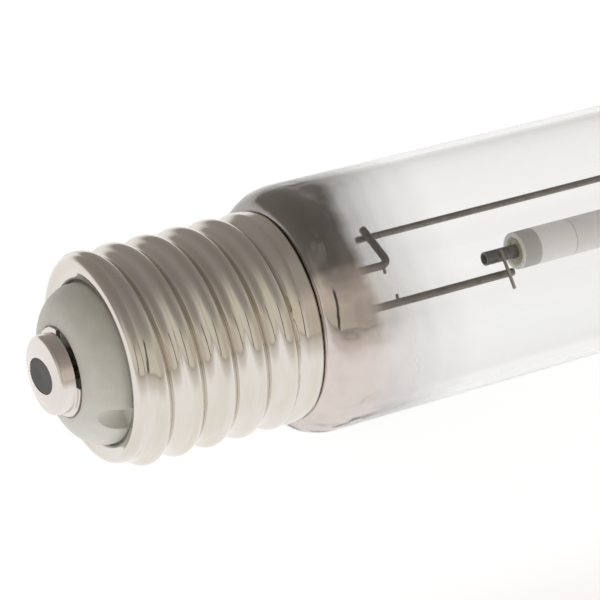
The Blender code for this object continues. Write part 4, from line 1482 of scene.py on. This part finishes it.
class MountFrame(SubAssembly):
    """The leads, the return rod, the cross wires, the dome springs and the getters."""

    def __init__(self, finishes: Finishes, sizes: FrameSizes = FrameSizes()) -> None:
        """Keep the sizes.

        Args:
            finishes: Every finish of the lamp.
            sizes: The frame's sizes.
        """
        super().__init__(finishes)
        self.sizes = sizes

    def build(self, frame: dict) -> None:
        """Build and dress every wire and strip.

        Args:
            frame: The loaded frame.
        """
        self.build_leads()
        self.build_rod()
        self.build_cross_wires()
        self.build_spring("dome_spring_upper", "upper_dome_spring", 0.0)
        self.build_spring("dome_spring_lower", "lower_dome_spring", math.pi)
        size = self.sizes
        self.build_getter("upper", size.lead_bearing, math.radians(56.0), 71.6 * MM, -1.0)
        self.build_getter("lower", size.lead_bearing + math.pi, math.radians(-77.0), 71.9 * MM, 1.0)
        for node in ("outer_lead_centre", "outer_lead_side"):
            self.dress_node(frame, node, self.finishes.lead)

    def build_leads(self) -> None:
        """Build the lead that ends in the crossbar, and the straight one."""
        size = self.sizes
        start = Envelope.of("inner_lead_crossbar").start
        corner = on_circle(size.lead_circle, size.lead_bearing, size.crossbar_station)
        tip = corner + on_circle(size.crossbar_length, size.crossbar_bearing)
        path = bent_path([on_circle(size.lead_circle, size.lead_bearing, start), corner, tip],
                         size.crossbar_bend, 14)
        self.enrol(self.wire("lead_with_crossbar", path, size.lead_radius), self.finishes.lead,
                   Slot.WIRE, "inner_lead_crossbar")
        back = size.lead_bearing + math.pi
        ends = Envelope.of("inner_lead_straight")
        path = [on_circle(size.lead_circle, back, s) for s in (ends.start, ends.end)]
        self.enrol(self.wire("lead_to_arc_tube", path, size.lead_radius), self.finishes.lead,
                   Slot.WIRE, "inner_lead_straight")

    def build_rod(self) -> None:
        """Build the return rod and its bridge across the far end."""
        size = self.sizes
        box = Envelope.of("return_rod")
        bridge = box.end - size.rod_radius
        _, y, z = size.rod
        corners = [Vector((box.start, y, z)), Vector((bridge, y, z)), Vector((bridge, -y, -z))]
        self.enrol(self.wire("frame_return_rod", bent_path(corners, size.rod_bend, 14),
                             size.rod_radius), self.finishes.rod, Slot.WIRE, "return_rod")

    def build_cross_wires(self) -> None:
        """Build the thin wires that hold the niobium tubes."""
        size = self.sizes
        offset = size.niobium_radius + size.fit_gap + size.cross_wire_radius - 0.28 * MM
        foot = on_circle(offset, size.near_wire_bearing - math.pi / 2, size.near_wire_station)
        along = on_circle(1.0, size.near_wire_bearing)
        self.enrol(self.wire("cross_wire_near", [foot - along * 0.6 * MM,
                                                 foot + along * size.near_wire_reach],
                             size.cross_wire_radius, 16), self.finishes.cross_wire, Slot.WIRE,
                   "near_cross_wire")
        bearing = math.atan2(size.rod.z, size.rod.y)
        foot = on_circle(offset, bearing + math.pi / 2, size.far_wire_station)
        along = on_circle(1.0, bearing)
        reach = size.rod.length + 2.0 * MM
        self.enrol(self.wire("cross_wire_far", [foot - along * 2.5 * MM, foot + along * reach],
                             size.cross_wire_radius, 16), self.finishes.cross_wire, Slot.WIRE,
                   "far_cross_wire")

    def build_spring(self, name: str, node: str, turn: float) -> None:
        """Build one leaf spring between the frame's bridge and the glass.

        Args:
            name: The piece's name.
            node: The CAD node that it stands for.
            turn: Extra angle about the axis.
        """
        size = self.sizes
        bridge = Envelope.of("return_rod").end - size.rod_radius
        distance = size.rod.length
        reach = Envelope.of("outer_bulb").radius - 1.2 * MM - size.fit_gap - size.spring_thickness
        on_bridge = bridge + size.rod_radius + size.fit_gap + size.spring_thickness
        corners = [Vector((on_bridge, distance * 0.45, 0)),
                   Vector((on_bridge, distance + size.rod_radius, 0)),
                   Vector((on_bridge - size.spring_length * 0.4, reach - 0.5 * MM, 0)),
                   Vector((on_bridge - size.spring_length, reach - 1.5 * MM, 0))]
        blank = Blank()
        low = [blank.bm.verts.new((p.x, p.y, -size.spring_width / 2))
               for p in bent_path(corners, 3.0 * MM, 10)]
        edges = [blank.bm.edges.new(pair) for pair in zip(low, low[1:])]
        swept = bmesh.ops.extrude_edge_only(blank.bm, edges=edges)["geom"]
        raised = [v for v in swept if isinstance(v, bmesh.types.BMVert)]
        bmesh.ops.translate(blank.bm, verts=raised, vec=(0.0, 0.0, size.spring_width))
        bearing = math.atan2(size.rod.z, size.rod.y) + turn
        bmesh.ops.transform(blank.bm, verts=blank.bm.verts[:],
                            matrix=Matrix.Rotation(bearing, 4, "X"))
        bmesh.ops.recalc_face_normals(blank.bm, faces=blank.bm.faces[:])
        obj = show(name, blank.to_mesh(name))
        solid = obj.modifiers.new("Wall", "SOLIDIFY")
        solid.thickness = size.spring_thickness
        solid.offset = 0.0
        self.enrol(obj, self.finishes.spring, Slot.SPRING, node)

    def build_getter(self, side: str, lead_bearing: float, bearing: float, station: float,
                     tip_side: float) -> None:
        """Build one getter ring and the wire that holds it.

        Args:
            side: The getter's name, upper or lower.
            lead_bearing: Bearing of the lead that it is welded to.
            bearing: Direction from the lead to the ring.
            station: Where the wire's end crosses the lead.
            tip_side: Side that the wire's end points to, 1 or -1.
        """
        size = self.sizes
        centre = (on_circle(size.lead_circle, lead_bearing, size.getter_station)
                  + on_circle(size.getter_reach, bearing))
        blank = Blank()
        upright = Matrix.Rotation(math.pi / 2, 4, "X")
        section = Matrix.Translation((size.getter_radius, 0, 0)) @ upright
        bmesh.ops.create_circle(blank.bm, segments=20, radius=size.getter_section, matrix=section)
        bmesh.ops.spin(blank.bm, geom=blank.bm.verts[:] + blank.bm.edges[:], axis=(0, 0, 1),
                       cent=(0, 0, 0), angle=math.tau, steps=56, use_merge=True)
        bmesh.ops.remove_doubles(blank.bm, verts=blank.bm.verts[:], dist=0.000001)
        across = Matrix.Rotation(math.pi / 2, 4, "Y")
        bmesh.ops.transform(blank.bm, verts=blank.bm.verts[:],
                            matrix=Matrix.Translation(centre) @ across)
        bmesh.ops.recalc_face_normals(blank.bm, faces=blank.bm.faces[:])
        name = f"getter_ring_{side}"
        self.enrol(show(name, blank.to_mesh(name)), self.finishes.getter, Slot.GETTER,
                   f"{side}_getter_ring")

        beside = on_circle(size.lead_radius + size.getter_wire_radius + size.fit_gap,
                           size.getter_side)
        across = on_circle(size.getter_tip * tip_side, size.getter_side + math.pi / 2)
        corner = on_circle(size.lead_circle, lead_bearing, station) + beside
        on_ring = centre - on_circle(size.getter_radius, bearing)
        on_ring.x += size.getter_section + size.getter_wire_radius + size.fit_gap
        knee = Vector((on_ring.x, corner.y, corner.z))
        path = bent_path([corner + across, corner, knee, on_ring], size.getter_wire_radius * 2.5, 8)
        name = f"getter_wire_{side}"
        self.enrol(self.wire(name, path, size.getter_wire_radius, 14), self.finishes.getter,
                   Slot.GETTER, f"{side}_getter_wire")


@dataclass(frozen=True)
class ArcTubeSizes:
    """Sizes of the arc tube and its ends."""

    wall: float = 0.75 * MM
    edge_round: float = 0.15 * MM
    band_length: float = 4.1 * MM
    plug_length: float = 12.2 * MM
    niobium_wall: float = 0.35 * MM
    coil_wire: float = 0.22 * MM
    coil_pitch: float = 0.75 * MM
    coil_turns: int = 6
    electrode_radius: float = 0.4 * MM
    fit_gap: float = 0.3 * MM


class ArcTube(SubAssembly):
    """The alumina arc tube with its plugs, frit, niobium tubes and electrodes."""

    def __init__(self, finishes: Finishes, sizes: ArcTubeSizes = ArcTubeSizes()) -> None:
        """Keep the sizes, and read the tube's place from the frame.

        Args:
            finishes: Every finish of the lamp.
            sizes: The arc tube's sizes.
        """
        super().__init__(finishes)
        self.sizes = sizes
        self.tube = Envelope.of("arc_tube")

    def build(self, frame: dict) -> None:
        """Build and dress every piece of the arc tube.

        Args:
            frame: The loaded frame.
        """
        self.build_tube()
        for end in End:
            self.build_end(end)
        self.dress_node(frame, "amalgam_pill", self.finishes.amalgam)

    def ring(self, name: str, place: Envelope, bore: float, edge: float,
             steps: int) -> bpy.types.Object:
        """Make a plain ring with rounded ends.

        Args:
            name: The piece's name.
            place: Its stations and outer radius.
            bore: Its inner radius.
            edge: Radius of its rounded edges.
            steps: Number of steps in the turn.

        Returns:
            The object.
        """
        outline: Outline = []
        for station, side in ((place.end, 1.0), (place.start, -1.0)):
            outer = ellipse_arc((station - side * edge, place.radius - edge), side * edge, edge,
                                0.0, math.pi / 2, 5)
            inner = ellipse_arc((station - side * edge, bore + edge), side * edge, -edge,
                                0.0, math.pi / 2, 5)
            outline += (inner[::-1] + outer) if side > 0 else (outer[::-1] + inner)
        return self.turned(name, outline, steps)

    def build_tube(self) -> None:
        """Build the alumina tube."""
        size = self.sizes
        middle = (self.tube.start + self.tube.end) / 2
        half = self.tube.end - middle
        plug = half - size.plug_length
        finish = SinteredAlumina("arc_tube_alumina", centre=middle, bands=(
            (plug - 0.15 * MM, (0.70, 0.70, 0.68)), (plug + 0.15 * MM, (0.97, 0.97, 0.96)),
            (half - size.band_length, (0.56, 0.565, 0.53)), (half - 0.3 * MM, (0.95, 0.95, 0.93)))
        ).make()
        obj = self.ring("arc_tube_body", self.tube, self.tube.radius - size.wall,
                        size.edge_round, 96)
        self.enrol(obj, finish, Slot.ALUMINA, "arc_tube")

    def build_end(self, end: End) -> None:
        """Build the plug, the frit, the niobium tube, the electrode and its coil of one end.

        Args:
            end: Which end.
        """
        size = self.sizes
        side = end.value
        plug = Envelope.of(f"{side}_end_plug")
        bore = 1.6 * MM
        finish = SinteredAlumina(f"end_plug_alumina_{side}", body=(0.97, 0.97, 0.96),
                                 through=0.0).make()
        self.enrol(self.ring(f"end_plug_{side}", plug, bore, 0.1 * MM, 72), finish, Slot.ALUMINA,
                   f"{side}_end_plug")
        frit = Envelope.of(f"{side}_frit_ring")
        self.enrol(self.ring(f"frit_ring_{side}", frit, bore, 0.08 * MM, 72), self.finishes.frit,
                   Slot.FRIT, f"{side}_frit_ring")
        niobium = Envelope.of(f"{side}_niobium_tube")
        self.enrol(self.ring(f"niobium_tube_{side}", niobium, niobium.radius - size.niobium_wall,
                             0.08 * MM, 48), self.finishes.niobium, Slot.NIOBIUM,
                   f"{side}_niobium_tube")
        rod = Envelope.of(f"{side}_electrode_rod")
        self.enrol(self.wire(f"electrode_rod_{side}", [Vector((rod.start, 0, 0)),
                                                       Vector((rod.end, 0, 0))],
                             size.electrode_radius, 18), self.finishes.tungsten, Slot.TUNGSTEN,
                   f"{side}_electrode_rod")
        coil = Envelope.of(f"{side}_electrode_coil")
        radius = size.electrode_radius + size.fit_gap + size.coil_wire
        points = 18
        low = coil.start + size.coil_wire
        turns = [on_circle(radius, math.tau * i / points, low + size.coil_pitch * i / points)
                 for i in range(size.coil_turns * points + 1)]
        self.enrol(self.wire(f"electrode_coil_{side}", turns, size.coil_wire, 10),
                   self.finishes.tungsten, Slot.TUNGSTEN, f"{side}_electrode_coil")


# ---------------------------------------------------------------------------------------------
# Studio
# ---------------------------------------------------------------------------------------------


@dataclass(frozen=True)
class StudioSizes:
    """Places and brightness of the camera, the floor and the light."""

    camera_place: tuple[float, float, float] = (-0.1801, -0.3891, 0.2255)
    camera_way: tuple[float, float, float] = (0.4590, 0.7701, -0.4431)
    lens: float = 168.4
    floor_level: float = -22.9 * MM
    floor_radius: float = 6.0
    floor_glow: float = 0.93
    floor_white: float = 0.25


class Studio:
    """The camera, the pale floor and the soft light round the lamp."""

    def __init__(self, sizes: StudioSizes = StudioSizes()) -> None:
        """Keep the sizes.

        Args:
            sizes: Places and brightness.
        """
        self.sizes = sizes

    def build(self) -> None:
        """Set up the camera, the floor, the surroundings and the colours."""
        self.build_camera()
        self.build_floor()
        self.build_surroundings()
        bpy.context.scene.view_settings.view_transform = "Standard"

    def build_camera(self) -> None:
        """Create the camera and make it the scene's."""
        size = self.sizes
        ahead = Vector(size.camera_way).normalized()
        right = ahead.cross(Vector((0.0, 0.0, 1.0))).normalized()
        up = right.cross(ahead)
        data = bpy.data.cameras.new("camera")
        data.lens = size.lens
        data.sensor_width = 36.0
        data.clip_start = 0.01
        data.dof.use_dof = False
        camera = bpy.data.objects.new("camera", data)
        matrix = Matrix((right, up, -ahead)).transposed().to_4x4()
        matrix.translation = Vector(size.camera_place)
        camera.matrix_world = matrix
        bpy.context.scene.collection.objects.link(camera)
        bpy.context.scene.camera = camera
        LOG.info("camera: lens %.1f mm", size.lens)

    def build_floor(self) -> None:
        """Lay the pale floor, lit from below like a light table."""
        size = self.sizes
        blank = Blank()
        bmesh.ops.create_circle(blank.bm, cap_ends=True, segments=96, radius=size.floor_radius,
                                matrix=Matrix.Translation((0.0, 0.0, size.floor_level)))
        floor = show("floor", blank.to_mesh("floor"))
        material, recipe = new_recipe("floor_pale")
        axis = recipe.add("ShaderNodeSeparateXYZ")
        recipe.feed(axis.inputs["Vector"], recipe.place_in_mm())
        ahead = recipe.span(axis.outputs["Y"], (-60.0, -1060.0), (0.0, 1.0))
        glow = recipe.blend(ahead, [
            (0.0, (1.0, 1.0, 1.0)), (0.05, (0.76, 0.735, 0.70)), (0.16, (0.62, 0.59, 0.54)),
            (0.45, (0.49, 0.46, 0.41)), (0.62, (0.37, 0.345, 0.305)), (0.82, (0.36, 0.335, 0.30)),
            (1.0, (0.46, 0.43, 0.39))])
        recipe.surface(Base_Color=(size.floor_white,) * 3, Roughness=0.9, Specular_IOR_Level=0.0,
                       Emission_Color=glow, Emission_Strength=size.floor_glow)
        floor.data.materials.append(material)
        LOG.info("floor: radius %.1f m", size.floor_radius)

    def build_surroundings(self) -> None:
        """Make the world: a pale wall low down, and a dimmer room above it."""
        world = bpy.data.worlds.new("studio")
        bpy.context.scene.world = world
        world.use_nodes = True
        recipe = Recipe(world.node_tree)
        way = recipe.add("ShaderNodeTexCoord").outputs["Generated"]
        axes = recipe.add("ShaderNodeSeparateXYZ")
        recipe.feed(axes.inputs["Vector"], way)
        height = recipe.span(axes.outputs["Z"], (-0.1, 1.0), (0.0, 1.0))
        near_wall = recipe.blend(height, [
            (0.090, (0.76, 0.71, 0.625)), (0.45, (0.70, 0.65, 0.565)), (0.60, (0.50, 0.46, 0.41)),
            (0.72, (0.36, 0.33, 0.30)), (1.0, (0.25, 0.23, 0.21))])
        side_wall = recipe.blend(height, [
            (0.090, (0.64, 0.58, 0.51)), (0.36, (0.60, 0.54, 0.47)), (0.50, (0.63, 0.58, 0.51)),
            (0.60, (0.52, 0.475, 0.42)), (0.72, (0.38, 0.345, 0.31)), (0.86, (0.36, 0.33, 0.305)),
            (1.0, (0.25, 0.23, 0.21))])
        back = recipe.blend(height, [
            (0.08, (1.0, 1.0, 1.0)), (0.17, (0.92, 0.90, 0.87)), (0.30, (0.34, 0.315, 0.295)),
            (1.0, (0.25, 0.23, 0.21))])
        sideways = recipe.span(axes.outputs["X"], (0.10, 0.38), (0.0, 1.0), smooth=True)
        facing = recipe.span(axes.outputs["Y"], (0.25, -0.25), (0.0, 1.0), smooth=True)
        colour = recipe.mix(facing, back, recipe.mix(sideways, near_wall, side_wall))
        colour = recipe.mix(self.stand(recipe, way, axes.outputs["Z"]), colour, (0.03, 0.03, 0.03))
        background = recipe.add("ShaderNodeBackground")
        recipe.feed(background.inputs["Color"], colour)
        output = recipe.add("ShaderNodeOutputWorld")
        recipe.feed(output.inputs["Surface"], background.outputs["Background"])

    def stand(self, recipe: Recipe, way: bpy.types.NodeSocket,
              height: bpy.types.NodeSocket) -> bpy.types.NodeSocket:
        """Make the tall dark stand that holds the camera, for the metal to mirror.

        Args:
            recipe: The world's recipe.
            way: The direction that is looked in.
            height: The direction's height.

        Returns:
            How much of the stand is there, from 0 to 1.
        """
        back = Vector((-self.sizes.camera_way[0], -self.sizes.camera_way[1], 0.0)).normalized()
        beside = Vector((-back.y, back.x, 0.0))
        parts: list[bpy.types.NodeSocket] = []
        for axis in (back, beside):
            dot = recipe.add("ShaderNodeVectorMath", operation="DOT_PRODUCT")
            recipe.feed(dot.inputs[0], way)
            dot.inputs[1].default_value = axis
            parts.append(dot.outputs["Value"])
        ahead = recipe.span(parts[0], (0.2, 0.3), (0.0, 1.0))
        narrow = recipe.span(recipe.sum("ABSOLUTE", parts[1]), (0.085, 0.045), (0.0, 0.9),
                             smooth=True)
        low = recipe.span(height, (0.60, 0.50), (0.0, 1.0), smooth=True)
        return recipe.sum("MULTIPLY", recipe.sum("MULTIPLY", ahead, narrow), low)


# ---------------------------------------------------------------------------------------------
# Build
# ---------------------------------------------------------------------------------------------


def main() -> None:
    """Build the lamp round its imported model, then the studio."""
    logging.basicConfig(level=logging.INFO, format="%(name)s: %(message)s")
    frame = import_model()
    finishes = Finishes()
    builders: list[Callable[[], None]] = [
        lambda: Cap(finishes).build(frame),
        lambda: Bulb(finishes).build(),
        lambda: MountFrame(finishes).build(frame),
        lambda: ArcTube(finishes).build(frame),
        lambda: Studio().build(),
    ]
    for build in builders:
        build()


if __name__ == "__main__":
    main()
